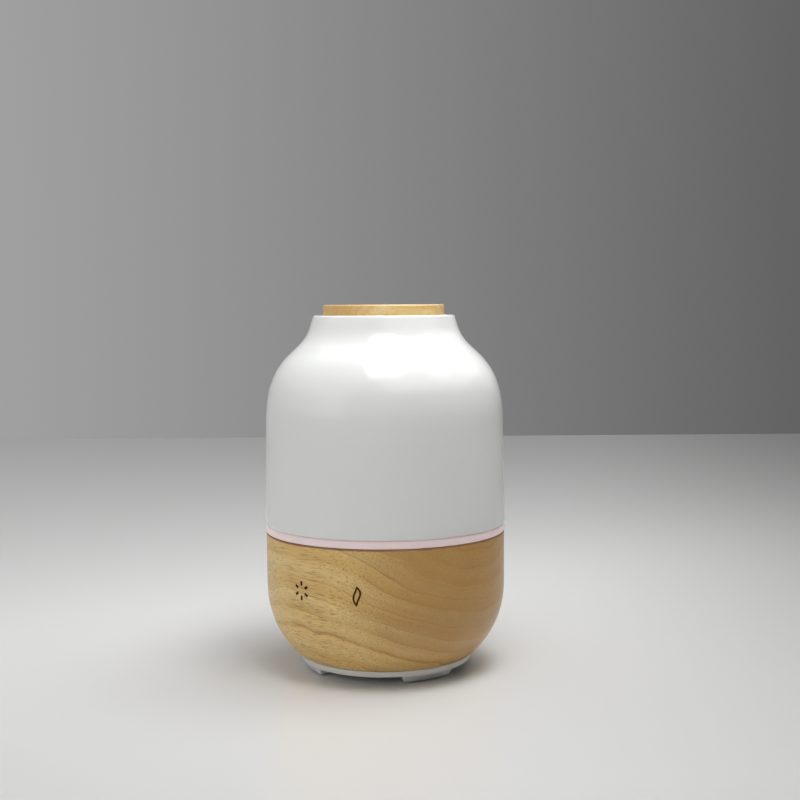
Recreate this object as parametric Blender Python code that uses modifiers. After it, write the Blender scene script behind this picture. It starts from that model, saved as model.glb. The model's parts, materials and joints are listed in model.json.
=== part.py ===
"""Ultrasonic essential oil diffuser: a turned wood base, a glazed cover, a tank and what works inside.

Every size is in millimetres, and MM turns it into Blender's metres. +Z is up, the touch marks face -Y,
and the origin is on the table under the middle of the object. A bearing is an angle seen from above,
counted from the front (-Y) towards +X.
"""

import bmesh
import bpy
from math import cos, degrees, pi, radians, sin, sqrt
from mathutils import Vector

MM = 0.001

# Heights of the outside, from the table up
FOOT_Z = 0.6
PLATE_RIM_Z = 3.5
WOOD_BASE_Z = 6.7
WOOD_TOP_Z = 63.1
COVER_BASE_Z = 67.0
RIM_Z = 162.3
TOP_Z = 167.1

# Radii of the outside
WOOD_RADIUS = 55.0
COVER_RADIUS = 55.5
PLATE_RADIUS = 40.1
RIM_RADIUS = 32.5
DISC_RADIUS = 27.85
COVER_WALL = 3.8

# Clearances and repeated thicknesses
GAP = 0.3
RUNNING_GAP = 0.4
BOARD_THICKNESS = 1.6
SHELL_STEPS = 36
INNER_STEPS = 24
ROUND_STEPS = 20
SMALL_STEPS = 12
SCREW_STEPS = 8

# Feet: their middles, as bearings, the ring that they are cut from, and the posts that the screws enter
FOOT_BEARINGS = (58.0, -43.0, 142.5, -123.5)
FOOT_HALF_ANGLE = 19.0
FOOT_INNER = 26.5
POST_CIRCLE = 31.5
POST_BEARINGS = (56.5, -37.5, 142.5, -123.5)
UNDERSIDE_Z = 4.3
FLOOR_TOP_Z = 6.1

# Tank
TANK_RADIUS = 42.8
TANK_WALL = 1.8
TANK_FLOOR_Z = 39.5
FLANGE_Z = 67.0
FLANGE_RADIUS = 51.2
LIP_Z = 72.0

# Places of the working parts, in plan
TOWER_CENTRE = (24.0, 0.0)
TRANSDUCER_CENTRE = (-14.0, 0.0)
FAN_CENTRE = (17.5, 1.0)
JACK_CENTRE = (-2.0, 26.0)
TOUCH_BEARING = 14.4
TOUCH_Z = 43.1

# Fan
FAN_SIZE = 30.0
FAN_HOLE_PITCH = 24.0
FAN_BOTTOM_Z = 12.0
FAN_TOP_Z = 22.0
FAN_BORE = 14.3
BLADES = 7

# Boards
MAIN_BOARD_Z = 16.0
BOARD_STANDOFFS = ((-31.0, -12.0), (-12.5, -16.0), (-12.5, 10.0))
LED_BOARD_Z = 34.2
LED_BEARINGS = (20.0, 110.0, 200.0, 290.0)
LED_STAKE_BEARINGS = (60.0, 180.0, 300.0)
LED_STAKE_CIRCLE = 41.5

# Mist path
CHIMNEY_TOP_Z = 156.0
CHIMNEY_RADIUS = 6.9
NOZZLE_BORE = 7.3

MATERIALS = {
    "glaze": ((0.86, 0.87, 0.86), 0.12, 0.0),
    "wood": ((0.58, 0.39, 0.19), 0.45, 0.0),
    "disc_wood": ((0.74, 0.50, 0.22), 0.5, 0.0),
    "frosted": ((0.86, 0.76, 0.80), 0.35, 0.0),
    "white_plastic": ((0.82, 0.82, 0.82), 0.4, 0.0),
    "clear_plastic": ((0.86, 0.88, 0.88), 0.25, 0.0),
    "black_plastic": ((0.03, 0.03, 0.035), 0.45, 0.0),
    "rubber": ((0.06, 0.06, 0.06), 0.8, 0.0),
    "silicone": ((0.75, 0.75, 0.74), 0.6, 0.0),
    "steel": ((0.62, 0.62, 0.63), 0.3, 1.0),
    "brass": ((0.78, 0.60, 0.30), 0.3, 1.0),
    "aluminium": ((0.75, 0.76, 0.78), 0.4, 1.0),
    "green_board": ((0.03, 0.22, 0.10), 0.4, 0.0),
    "white_board": ((0.85, 0.85, 0.82), 0.4, 0.0),
    "ferrite": ((0.08, 0.08, 0.09), 0.6, 0.0),
    "copper": ((0.72, 0.38, 0.20), 0.35, 1.0),
    "led": ((0.95, 0.93, 0.80), 0.3, 0.0),
    "red_lead": ((0.55, 0.05, 0.04), 0.5, 0.0),
    "grey_lead": ((0.35, 0.35, 0.36), 0.5, 0.0),
}


# ---------------------------------------------------------------- scene and helpers


def clear_scene():
    for obj in list(bpy.data.objects):
        bpy.data.objects.remove(obj)


def new_collection(name, parent=None):
    made = bpy.data.collections.new(name)
    (parent or bpy.context.scene.collection).children.link(made)
    return made


clear_scene()
PARTS = new_collection("essential_oil_diffuser")
CUTTERS = new_collection("cutters")
MADE_MATERIALS = {}


def material(name):
    """The named material, made the first time that a part asks for it."""
    if name not in MADE_MATERIALS:
        colour, roughness, metallic = MATERIALS[name]
        made = bpy.data.materials.new(name)
        made.use_nodes = True
        shader = made.node_tree.nodes["Principled BSDF"]
        shader.inputs["Base Color"].default_value = (*colour, 1.0)
        shader.inputs["Roughness"].default_value = roughness
        shader.inputs["Metallic"].default_value = metallic
        MADE_MATERIALS[name] = made
    return MADE_MATERIALS[name]


def add_object(name, data, finish, centre=(0, 0), height=0.0):
    """An object in the parts collection, or in the cutters' one where it has no finish."""
    obj = bpy.data.objects.new(name, data)
    obj.location = (centre[0] * MM, centre[1] * MM, height * MM)
    if finish:
        data.materials.append(material(finish))
        PARTS.objects.link(obj)
    else:
        obj.hide_render = True
        obj.display_type = "WIRE"
        CUTTERS.objects.link(obj)
    return obj


def mesh_from(bm, name):
    mesh = bpy.data.meshes.new(name)
    bm.to_mesh(mesh)
    bm.free()
    return mesh


def around(bearing, radius, centre=(0, 0)):
    """The point in plan at this bearing and radius."""
    return (centre[0] + radius * sin(radians(bearing)), centre[1] - radius * cos(radians(bearing)))


def turned(name, outline, finish=None, steps=SHELL_STEPS, centre=(0, 0)):
    """A turned shape. The outline is (radius, height), down the outer side, and it is closed unless
    both its ends are on the axis."""
    bm = bmesh.new()
    points = [bm.verts.new((radius * MM, 0, height * MM)) for radius, height in outline]
    for first, second in zip(points, points[1:]):
        bm.edges.new((first, second))
    if outline[0][0] > 0:
        bm.edges.new((points[-1], points[0]))
    obj = add_object(name, mesh_from(bm, name), finish, centre)
    screw = obj.modifiers.new("Turn", "SCREW")
    screw.steps = screw.render_steps = steps
    screw.use_merge_vertices = True
    screw.merge_threshold = 0.00001
    return obj


def cylinder(name, radius, bottom, top, finish=None, centre=(0, 0), steps=SMALL_STEPS):
    bm = bmesh.new()
    bmesh.ops.create_cone(
        bm, cap_ends=True, segments=steps, radius1=radius * MM, radius2=radius * MM, depth=(top - bottom) * MM
    )
    return add_object(name, mesh_from(bm, name), finish, centre, (bottom + top) / 2)


def box(name, low, high, finish=None):
    """A box between its lowest and highest corners."""
    bm = bmesh.new()
    bmesh.ops.create_cube(bm, size=MM)
    bmesh.ops.scale(bm, vec=[b - a for a, b in zip(low, high)], verts=bm.verts)
    middle = [(a + b) / 2 for a, b in zip(low, high)]
    return add_object(name, mesh_from(bm, name), finish, middle[:2], middle[2])


def extruded(name, outlines, bottom, top, finish=None, centre=(0, 0)):
    """Flat outlines in plan, the first filled and the others holes in it, given height, as a mesh."""
    curve = bpy.data.curves.new(name, "CURVE")
    curve.dimensions = "2D"
    curve.fill_mode = "BOTH"
    curve.extrude = (top - bottom) / 2 * MM
    for outline in outlines:
        spline = curve.splines.new("POLY")
        spline.points.add(len(outline) - 1)
        spline.use_cyclic_u = True
        for point, (x, y) in zip(spline.points, outline):
            point.co = (x * MM, y * MM, 0, 1)
    guide = bpy.data.objects.new(name, curve)
    CUTTERS.objects.link(guide)
    graph = bpy.context.evaluated_depsgraph_get()
    bm = bmesh.new()
    bm.from_mesh(bpy.data.meshes.new_from_object(guide.evaluated_get(graph)))
    bmesh.ops.remove_doubles(bm, verts=bm.verts, dist=0.00001)
    bpy.data.objects.remove(guide)
    return add_object(name, mesh_from(bm, name), finish, centre, (bottom + top) / 2)


def circle(radius, centre=(0, 0), steps=SMALL_STEPS):
    return [around(360 * i / steps, radius, centre) for i in range(steps)]


def sector(inner, outer, bearing, half_angle, steps=6):
    """The outline of a piece of a flat ring, either side of a bearing."""
    sweep = [bearing - half_angle + 2 * half_angle * i / steps for i in range(steps + 1)]
    return [around(b, outer) for b in sweep] + [around(b, inner) for b in reversed(sweep)]


def combine(obj, operation, helpers):
    """One Boolean with a group of helper shapes."""
    group = new_collection(f"{obj.name}_{operation.lower()}_{len(obj.modifiers)}", CUTTERS)
    for helper in helpers:
        CUTTERS.objects.unlink(helper)
        group.objects.link(helper)
    modifier = obj.modifiers.new(operation.title(), "BOOLEAN")
    modifier.operation = operation
    modifier.operand_type = "COLLECTION"
    modifier.collection = group
    modifier.solver = "EXACT"


def smooth_route(points, spacing):
    """Points about this far apart on a Catmull-Rom curve through the route's own points."""
    knots = [Vector(p) for p in points]
    knots = [2 * knots[0] - knots[1], *knots, 2 * knots[-1] - knots[-2]]
    route = []
    for a, b, c, d in zip(knots, knots[1:], knots[2:], knots[3:]):
        count = max(1, round((c - b).length / spacing))
        for i in range(count):
            t = i / count
            pull = (c - a) * t + (2 * a - 5 * b + 4 * c - d) * t**2 + (3 * b - a - 3 * c + d) * t**3
            route.append(b + pull / 2)
    return [*route, knots[-2]]


def wire(name, route, radius, finish):
    """A round wire along a list of points."""
    curve = bpy.data.curves.new(name, "CURVE")
    curve.dimensions = "3D"
    curve.bevel_depth = radius * MM
    curve.bevel_resolution = 2
    curve.use_fill_caps = True
    spline = curve.splines.new("POLY")
    spline.points.add(len(route) - 1)
    for point, place in zip(spline.points, route):
        point.co = (*(Vector(place) * MM), 1)
    return add_object(name, curve, finish)


def screw(name, centre, head_bottom, head_height, tip, head_radius, shank_radius):
    """A pan-head screw on a vertical axis. Its tip may be above or below its head."""
    under = head_bottom + head_height
    if tip > head_bottom:
        outline = [(0, tip), (shank_radius, tip), (shank_radius, under), (head_radius, under)]
        outline += [(head_radius, head_bottom + 0.3), (head_radius - 0.4, head_bottom), (0, head_bottom)]
    else:
        outline = [(0, under), (head_radius - 0.4, under), (head_radius, under - 0.3)]
        outline += [(head_radius, head_bottom), (shank_radius, head_bottom), (shank_radius, tip), (0, tip)]
    return turned(name, outline, "steel", SCREW_STEPS, centre)


def meridian(start, slope, moves):
    """An outline walked from a start point. The slope is the angle outward from straight down. A move is
    ("line", length) or ("arc", radius, new slope). Returns (radius, height, slope) at each point."""
    r, z, a = *start, radians(slope)
    walked = [(r, z, a)]
    for kind, size, *turn in moves:
        if kind == "line":
            r, z = r + size * sin(a), z - size * cos(a)
            walked.append((r, z, a))
            continue
        target = radians(turn[0])
        bulge = 1 if target < a else -1
        count = max(1, round(abs(degrees(target - a)) / 14))
        middle = (r - bulge * size * cos(a), z - bulge * size * sin(a))
        for i in range(1, count + 1):
            b = a + (target - a) * i / count
            walked.append((middle[0] + bulge * size * cos(b), middle[1] + bulge * size * sin(b), b))
        r, z, a = walked[-1]
    return walked


def body(name, centre=(0, 0)):
    """An empty that the pieces of one rigid body hang from."""
    empty = bpy.data.objects.new(name, None)
    empty.location = (centre[0] * MM, centre[1] * MM, 0)
    PARTS.objects.link(empty)
    return empty


# ---------------------------------------------------------------- cover, which lifts off


def cover_outline():
    """The outer side of the cover, from the mouth's inner edge down to the foot."""
    shoulder = meridian(
        (DISC_RADIUS + 0.35, RIM_Z),
        90,
        [
            ("line", RIM_RADIUS - 1.24 - DISC_RADIUS - 0.35),
            ("arc", 1.3, 17.6),
            ("line", 4.6),
            ("arc", 20.0, 46.7),
            ("line", 5.7),
            ("arc", 33.0, 12.7),
            ("arc", 60.0, 1.4),
        ],
    )
    foot = [
        (COVER_RADIUS, COVER_BASE_Z + 0.8, 0.0),
        (COVER_RADIUS - 0.25, COVER_BASE_Z + 0.25, 0.0),
        (COVER_RADIUS - 0.8, COVER_BASE_Z, 0.0),
    ]
    return [*shoulder, *foot]


def cover_shell():
    """Glazed cover: an upright wall with a sloping shoulder and a short thick neck."""
    outer = cover_outline()
    neck_bottom = 152.0
    bore = DISC_RADIUS + 0.35
    inner = [
        (r - COVER_WALL * cos(a), z - COVER_WALL * sin(a))
        for r, z, a in outer[2:-2]
        if r - COVER_WALL * cos(a) > bore + 3 and z - COVER_WALL * sin(a) > COVER_BASE_Z + 3
    ]
    foot_inner = COVER_RADIUS - COVER_WALL
    outline = [(r, z) for r, z, _ in outer]
    outline += [(foot_inner + 0.8, COVER_BASE_Z), (foot_inner, COVER_BASE_Z + 0.8)]
    outline += [*reversed(inner), (bore, neck_bottom)]
    return turned("cover_shell", outline, "glaze")


def neck_insert():
    """Plastic insert bonded into the neck. It carries the disc, and its nozzle lines the disc's hole."""
    nozzle = NOZZLE_BORE + 1.6
    sleeve = DISC_RADIUS - 1.4
    outline = [
        (nozzle, TOP_Z - 0.7),
        (nozzle, 159.4),
        (sleeve, 159.4),
        (sleeve, 153.5),
        (sleeve - 2, 153.5),
        (sleeve - 2, 157.6),
        (nozzle, 157.6),
        (nozzle, 149.0),
        (NOZZLE_BORE, 149.0),
        (NOZZLE_BORE, TOP_Z - 0.7),
    ]
    return turned("neck_insert", outline, "white_plastic", INNER_STEPS)


def neck_seal():
    """Silicone band between the insert's sleeve and the neck's bore."""
    inner, outer = DISC_RADIUS - 1.4 + GAP, DISC_RADIUS - 0.1
    middle = inner + 0.7
    outline = [(outer, 158.6), (outer, 157.6), (middle, 156.9), (outer, 156.0), (outer, 155.0)]
    outline += [(inner, 155.0), (inner, 158.6)]
    return turned("neck_seal", outline, "silicone", INNER_STEPS)


def mist_disc():
    """Wooden disc in the cover's mouth, with the mist outlet through its middle."""
    hole = NOZZLE_BORE + 1.6 + RUNNING_GAP
    chamfer = 0.6
    outline = [
        (DISC_RADIUS - chamfer, TOP_Z),
        (DISC_RADIUS, TOP_Z - chamfer),
        (DISC_RADIUS, 159.7),
        (hole, 159.7),
        (hole, TOP_Z - chamfer),
        (hole + chamfer, TOP_Z),
    ]
    return turned("mist_disc", outline, "disc_wood")


# ---------------------------------------------------------------- inner lid, which lifts off


def splash_lid():
    """Translucent inner lid: it closes the tank, and its chimney carries the mist up to the nozzle."""
    wall = 1.4
    skirt = TANK_RADIUS - TANK_WALL - RUNNING_GAP
    seat = FLANGE_Z + TANK_WALL + GAP
    outside = [
        (CHIMNEY_RADIUS, CHIMNEY_TOP_Z),
        (CHIMNEY_RADIUS, 140.0),
        (9.2, 108.0),
        (13.0, 97.0),
        (22.0, 87.5),
        (41.0, seat + wall),
        (47.0, seat + wall),
    ]
    inside = [
        (skirt - wall, seat + 0.6),
        (21.1, 86.3),
        (11.7, 96.3),
        (7.8, 107.8),
        (CHIMNEY_RADIUS - wall, 140.0),
        (CHIMNEY_RADIUS - wall, CHIMNEY_TOP_Z),
    ]
    rim = [(47.0, seat), (skirt, seat), (skirt, 62.0), (skirt - wall, 62.0)]
    return turned("splash_lid", [*outside, *rim, *inside], "clear_plastic", INNER_STEPS)


# ---------------------------------------------------------------- base: shell, ring, tank


def wood_shell():
    """Turned wooden base, open at the top and bottom."""
    edge = 0.6
    outer = meridian(
        (49.0, WOOD_TOP_Z),
        90,
        [
            ("line", WOOD_RADIUS - edge - 49.0),
            ("arc", edge, 0),
            ("line", WOOD_TOP_Z - edge - 44.0),
            ("arc", 150.0, -3.04),
            ("arc", 42.0, -48.6),
        ],
    )
    outline = [(r, z) for r, z, _ in outer[:-1]] + [(40.6, WOOD_BASE_Z)]
    outline += [(36.5, WOOD_BASE_Z), (36.5, 9.0), (49.0, 28.0)]
    return turned("wood_shell", outline, "wood")


def light_ring():
    """Frosted ring between the wood and the cover, lit from inside. Its spigot centres it in the wood."""
    bottom, top = WOOD_TOP_Z + GAP, COVER_BASE_Z - GAP
    outline = [
        (54.7, top),
        (54.7, top - 0.9),
        (55.2, top - 1.1),
        (55.0, bottom),
        (48.7, bottom),
        (48.7, 60.5),
        (47.0, 60.5),
        (47.0, bottom),
        (44.5, bottom + 0.8),
        (44.5, top),
    ]
    return turned("light_ring", outline, "frosted")


def tank_bowl():
    """The tank's turned shape, with the flange that the cover and the inner lid sit on."""
    inner = TANK_RADIUS - TANK_WALL
    floor = TANK_FLOOR_Z + TANK_WALL
    lip = FLANGE_RADIUS - 1.5
    outline = [
        (0, floor),
        (inner - 6.0, floor),
        (inner - 1.8, floor + 1.8),
        (inner, floor + 6.0),
        (inner, FLANGE_Z + TANK_WALL),
        (lip, FLANGE_Z + TANK_WALL),
        (lip, LIP_Z),
        (FLANGE_RADIUS, LIP_Z),
        (FLANGE_RADIUS, FLANGE_Z),
        (TANK_RADIUS, FLANGE_Z),
        (TANK_RADIUS, TANK_FLOOR_Z + 7.5),
        (TANK_RADIUS - 2.3, TANK_FLOOR_Z + 2.3),
        (TANK_RADIUS - 7.5, TANK_FLOOR_Z),
        (0, TANK_FLOOR_Z),
    ]
    return turned("water_tank", outline, "clear_plastic", INNER_STEPS)


def clamp_screw_places():
    return [around(bearing, 16.5, TRANSDUCER_CENTRE) for bearing in (180, 300, 60)]


def water_tank():
    """Water tank with the air tower, the transducer's well, and the posts that the base screws into."""
    tank = tank_bowl()
    inside_floor = TANK_FLOOR_Z + 0.9
    added = [cylinder("tower", 9.5, 33.5, 60.0, centre=TOWER_CENTRE, steps=ROUND_STEPS)]
    added += [cylinder("well", 14.5, 36.3, inside_floor, centre=TRANSDUCER_CENTRE, steps=ROUND_STEPS)]
    for bearing in POST_BEARINGS:
        added.append(cylinder("post", 3.0, 10.3, inside_floor, centre=around(bearing, POST_CIRCLE)))
    for place in clamp_screw_places():
        added.append(cylinder("boss", 2.4, 36.3, inside_floor, centre=place))
    for bearing in LED_STAKE_BEARINGS:
        place = around(bearing, LED_STAKE_CIRCLE)
        added.append(cylinder("stake_boss", 1.7, 35.7, 45.2, centre=place, steps=SCREW_STEPS))
        added.append(cylinder("stake", 0.9, 33.2, 36.5, centre=place, steps=SCREW_STEPS))
    combine(tank, "UNION", added)

    removed = [cylinder("tower_bore", 8.0, 30.0, 62.0, centre=TOWER_CENTRE, steps=ROUND_STEPS)]
    removed += [cylinder("well_bore", 12.3, 33.0, TANK_FLOOR_Z, centre=TRANSDUCER_CENTRE, steps=ROUND_STEPS)]
    removed += [cylinder("window", 8.2, 38.0, 43.0, centre=TRANSDUCER_CENTRE, steps=ROUND_STEPS)]
    for bearing in POST_BEARINGS:
        place = around(bearing, POST_CIRCLE)
        removed.append(cylinder("pilot", 1.5, 9.0, 24.0, centre=place, steps=SCREW_STEPS))
    for place in clamp_screw_places():
        removed.append(cylinder("clamp_pilot", 1.2, 35.0, 39.3, centre=place, steps=SCREW_STEPS))
    combine(tank, "DIFFERENCE", removed)
    return tank


def air_vent_cap():
    """Cap on the air tower: the fan's air leaves sideways under it, and splashes stay out."""
    cap = turned(
        "air_vent_cap",
        [(0, 64.4), (9.0, 64.0), (11.0, 62.6), (11.0, 62.0), (0, 62.0)],
        "clear_plastic",
        ROUND_STEPS,
        TOWER_CENTRE,
    )
    ring = cylinder("plug_ring", 7.6, 55.0, 57.5, centre=TOWER_CENTRE, steps=ROUND_STEPS)
    x, y = TOWER_CENTRE
    across = box("leg_across", (x - 7.3, y - 0.7, 55.5), (x + 7.3, y + 0.7, 62.6))
    along = box("leg_along", (x - 0.7, y - 7.3, 55.5), (x + 0.7, y + 7.3, 62.6))
    combine(cap, "UNION", [ring, across, along])
    opened = []
    for quarter_x in (x - 3.5, x + 3.5):
        for quarter_y in (y - 3.5, y + 3.5):
            low = (quarter_x - 2.4, quarter_y - 2.4, 54.0)
            opened.append(box("quarter", low, (quarter_x + 2.4, quarter_y + 2.4, 58.5)))
    combine(cap, "DIFFERENCE", opened)
    return cap


# ---------------------------------------------------------------- base: transducer


def transducer():
    """Piezo disc in a silicone ring, held up against the tank's floor by a steel clamp and three screws."""
    plate = [(0, 38.3), (10.0, 38.3), (10.0, 37.5), (0, 37.5)]
    disc = turned("transducer_disc", plate, "brass", ROUND_STEPS, TRANSDUCER_CENTRE)
    ring = [(12.0, 39.2), (12.0, 36.3), (8.8, 36.3), (8.8, 37.2)]
    ring += [(10.3, 37.2), (10.3, 38.6), (8.8, 38.6), (8.8, 39.2)]
    gasket = turned("transducer_gasket", ring, "silicone", ROUND_STEPS, TRANSDUCER_CENTRE)
    ears = []
    for i, (x, y) in enumerate(clamp_screw_places()):
        toward = Vector((x - TRANSDUCER_CENTRE[0], y - TRANSDUCER_CENTRE[1])).normalized() * 4.5
        side = Vector((-toward.y, toward.x)).normalized() * 3.2
        inner = Vector((x, y)) - toward * 1.6
        outer = Vector((x, y)) + toward * 0.7
        corners = [inner - side, outer - side, outer + side, inner + side]
        ears.append(extruded(f"ear_{i}", [corners], 34.7, 36.0))
    clamp = cylinder("transducer_clamp", 12.0, 34.7, 36.0, "steel", TRANSDUCER_CENTRE, ROUND_STEPS)
    combine(clamp, "UNION", ears)
    holes = [cylinder("clamp_hole", 7.0, 34.0, 37.0, centre=TRANSDUCER_CENTRE, steps=ROUND_STEPS)]
    for place in clamp_screw_places():
        holes.append(cylinder("ear_hole", 1.2, 34.0, 37.0, centre=place, steps=SCREW_STEPS))
    combine(clamp, "DIFFERENCE", holes)
    screws = [
        screw(f"clamp_screw_{i + 1}", place, 33.1, 1.3, 38.9, 1.9, 0.9)
        for i, place in enumerate(clamp_screw_places())
    ]
    return [disc, gasket, clamp, *screws]


# ---------------------------------------------------------------- base: bottom plate


def standoff_places():
    """The four corners that the fan stands on."""
    half = FAN_HOLE_PITCH / 2
    x, y = FAN_CENTRE
    return [(x - half, y - half), (x + half, y + half), (x - half, y + half), (x + half, y - half)]


def plate_blank():
    """The plate's turned shape, with a full ring where the feet will be."""
    spigot = 35.6
    outline = [
        (0, FLOOR_TOP_Z),
        (spigot - 1.6, FLOOR_TOP_Z),
        (spigot - 1.6, 10.0),
        (spigot, 10.0),
        (spigot, WOOD_BASE_Z - GAP),
        (PLATE_RADIUS, WOOD_BASE_Z - GAP),
        (39.1, PLATE_RIM_Z),
        (38.3, 1.8),
        (37.6, FOOT_Z),
        (FOOT_INNER + 0.6, FOOT_Z),
        (FOOT_INNER, 1.8),
        (FOOT_INNER, UNDERSIDE_Z),
        (0, UNDERSIDE_Z),
    ]
    return turned("bottom_plate", outline, "white_plastic", INNER_STEPS)


def foot_gaps():
    """Cutters for the open stretches between the feet."""
    ordered = sorted(FOOT_BEARINGS)
    gaps = []
    for here, there in zip(ordered, [*ordered[1:], ordered[0] + 360]):
        half = (there - here) / 2 - FOOT_HALF_ANGLE
        outline = sector(FOOT_INNER - 1, PLATE_RADIUS + 2, (here + there) / 2, half, 8)
        gaps.append(extruded("foot_gap", [outline], -1.0, PLATE_RIM_Z))
    return gaps


def intake_slots():
    """Cutters for the slots that the fan draws through."""
    slots = []
    x, y = FAN_CENTRE
    for row in (-8, -4, 0, 4, 8):
        half = sqrt(12.5**2 - row**2)
        slots.append(box("slot", (x - half, y + row - 1.0, 3.0), (x + half, y + row + 1.0, 7.5)))
    return slots


def bottom_plate():
    """Bottom plate with four feet, the air intake, the power socket's recess and the standoffs."""
    plate = plate_blank()
    jack_x, jack_y = JACK_CENTRE
    added = [cylinder("jack_well", 8.0, 5.0, 14.0, centre=JACK_CENTRE, steps=ROUND_STEPS)]
    added.append(box("groove_roof", (jack_x - 4.4, jack_y + 5, 5.0), (jack_x + 4.4, 34.6, 9.0)))
    for bearing in POST_BEARINGS:
        added.append(cylinder("screw_boss", 3.8, 5.0, 10.0, centre=around(bearing, POST_CIRCLE)))
    for place in standoff_places():
        added.append(cylinder("fan_standoff", 2.4, 5.0, FAN_BOTTOM_Z - GAP, centre=place, steps=SCREW_STEPS))
    for place in BOARD_STANDOFFS:
        top = MAIN_BOARD_Z - GAP
        added.append(cylinder("board_standoff", 2.4, 5.0, top, centre=place, steps=SCREW_STEPS))
    combine(plate, "UNION", added)

    removed = foot_gaps() + intake_slots()
    removed.append(cylinder("recess", 6.4, 0.0, 12.5, centre=JACK_CENTRE, steps=ROUND_STEPS))
    removed.append(cylinder("jack_hole", 3.9, 12.0, 15.0, centre=JACK_CENTRE))
    removed.append(box("cable_groove", (jack_x - 2.8, jack_y, 0.0), (jack_x + 2.8, 43.0, 7.4)))
    for bearing in FOOT_BEARINGS:
        removed.append(extruded("pad_pocket", [sector(28.5, 35.7, bearing, 12.5, 4)], 0.0, 2.0))
    for bearing in POST_BEARINGS:
        place = around(bearing, POST_CIRCLE)
        removed.append(cylinder("head_bore", 2.7, 1.5, 6.5, centre=place))
        removed.append(cylinder("screw_hole", 1.5, 6.0, 11.0, centre=place, steps=SCREW_STEPS))
    for place in (*standoff_places()[:2], *BOARD_STANDOFFS):
        removed.append(cylinder("pilot", 1.2, 7.4, 17.0, centre=place, steps=SCREW_STEPS))
    combine(plate, "DIFFERENCE", removed)
    return plate


def feet_and_screws():
    """Rubber pads under the feet, over the screws that hold the plate to the tank's posts."""
    made = []
    for i, (foot, post) in enumerate(zip(FOOT_BEARINGS, POST_BEARINGS)):
        outline = sector(28.5 + GAP, 35.7 - GAP, foot, 11.9, 4)
        made.append(extruded(f"foot_pad_{i + 1}", [outline], 0.0, 1.7, "rubber"))
        made.append(screw(f"base_screw_{i + 1}", around(post, POST_CIRCLE), 4.3, 1.9, 21.0, 2.4, 1.2))
    return made


# ---------------------------------------------------------------- base: fan and its duct


def fan_frame():
    """Square fan frame with a round bore, and the motor's base on three struts."""
    x, y = FAN_CENTRE
    half = FAN_SIZE / 2
    low, high = (x - half, y - half, FAN_BOTTOM_Z), (x + half, y + half, FAN_TOP_Z)
    frame = box("fan_frame", low, high, "black_plastic")
    below, above = FAN_BOTTOM_Z - 1, FAN_TOP_Z + 1
    holes = [cylinder("fan_bore", FAN_BORE, below, above, centre=FAN_CENTRE, steps=INNER_STEPS)]
    for place in standoff_places():
        holes.append(cylinder("corner_hole", 1.6, below, above, centre=place, steps=SCREW_STEPS))
    combine(frame, "DIFFERENCE", holes)
    base_top = FAN_BOTTOM_Z + 1.4
    struts = [cylinder("motor_base", 7.8, FAN_BOTTOM_Z, base_top, centre=FAN_CENTRE, steps=ROUND_STEPS)]
    for bearing in (30, 150, 270):
        inner, outer = around(bearing, 7.0, FAN_CENTRE), around(bearing, FAN_BORE + 0.4, FAN_CENTRE)
        along = Vector((outer[0] - inner[0], outer[1] - inner[1])).normalized()
        side = Vector((-along.y, along.x)) * 1.0
        corners = [Vector(inner) - side, Vector(outer) - side, Vector(outer) + side, Vector(inner) + side]
        struts.append(extruded("strut", [corners], FAN_BOTTOM_Z, FAN_BOTTOM_Z + 1.4))
    combine(frame, "UNION", struts)
    return frame


def fan_motor():
    """The motor's fixed parts: four wound poles round a brass bearing."""
    base = FAN_BOTTOM_Z + 1.4 + GAP
    ring = [(2.7, base + 5.6), (6.5, base + 5.6), (6.5, base + 0.4), (2.7, base + 0.4)]
    stator = turned("fan_stator", [ring[1], ring[2], ring[3], ring[0]], "copper", ROUND_STEPS, FAN_CENTRE)
    notches = []
    for bearing in (45, 135, 225, 315):
        place = around(bearing, 6.4, FAN_CENTRE)
        notches.append(cylinder("pole_gap", 1.7, base - 1, base + 7, centre=place, steps=SCREW_STEPS))
    combine(stator, "DIFFERENCE", notches)
    sleeve = [(2.4, base + 5.8), (2.4, base), (1.05, base), (1.05, base + 5.8)]
    bearing_tube = turned("fan_bearing", sleeve, "brass", SMALL_STEPS, FAN_CENTRE)
    screws = [
        screw(f"fan_screw_{i + 1}", place, FAN_TOP_Z + GAP, 1.4, 8.5, 2.2, 0.9)
        for i, place in enumerate(standoff_places()[:2])
    ]
    return [stator, bearing_tube, *screws]


def lofted_tube(name, rings, wall, finish, steps=ROUND_STEPS):
    """An open tube through circles of different sizes and centres, thickened outward."""
    bm = bmesh.new()
    rows = []
    for centre, radius, height in rings:
        points = circle(radius, centre, steps)
        rows.append([bm.verts.new((x * MM, y * MM, height * MM)) for x, y in points])
    for lower, upper in zip(rows, rows[1:]):
        for i in range(steps):
            j = (i + 1) % steps
            bm.faces.new((lower[i], lower[j], upper[j], upper[i]))
    obj = add_object(name, mesh_from(bm, name), finish)
    thick = obj.modifiers.new("Wall", "SOLIDIFY")
    thick.thickness = wall * MM
    thick.offset = 1.0
    return obj


def air_duct():
    """Duct from the fan's round outlet to the foot of the tank's air tower."""
    rings = [
        (FAN_CENTRE, 13.0, FAN_TOP_Z + RUNNING_GAP),
        (FAN_CENTRE, 13.0, FAN_TOP_Z + 2.0),
        (TOWER_CENTRE, 9.9, 32.0),
        (TOWER_CENTRE, 9.9, 36.5),
    ]
    return lofted_tube("air_duct", rings, 1.1, "white_plastic")


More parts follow.
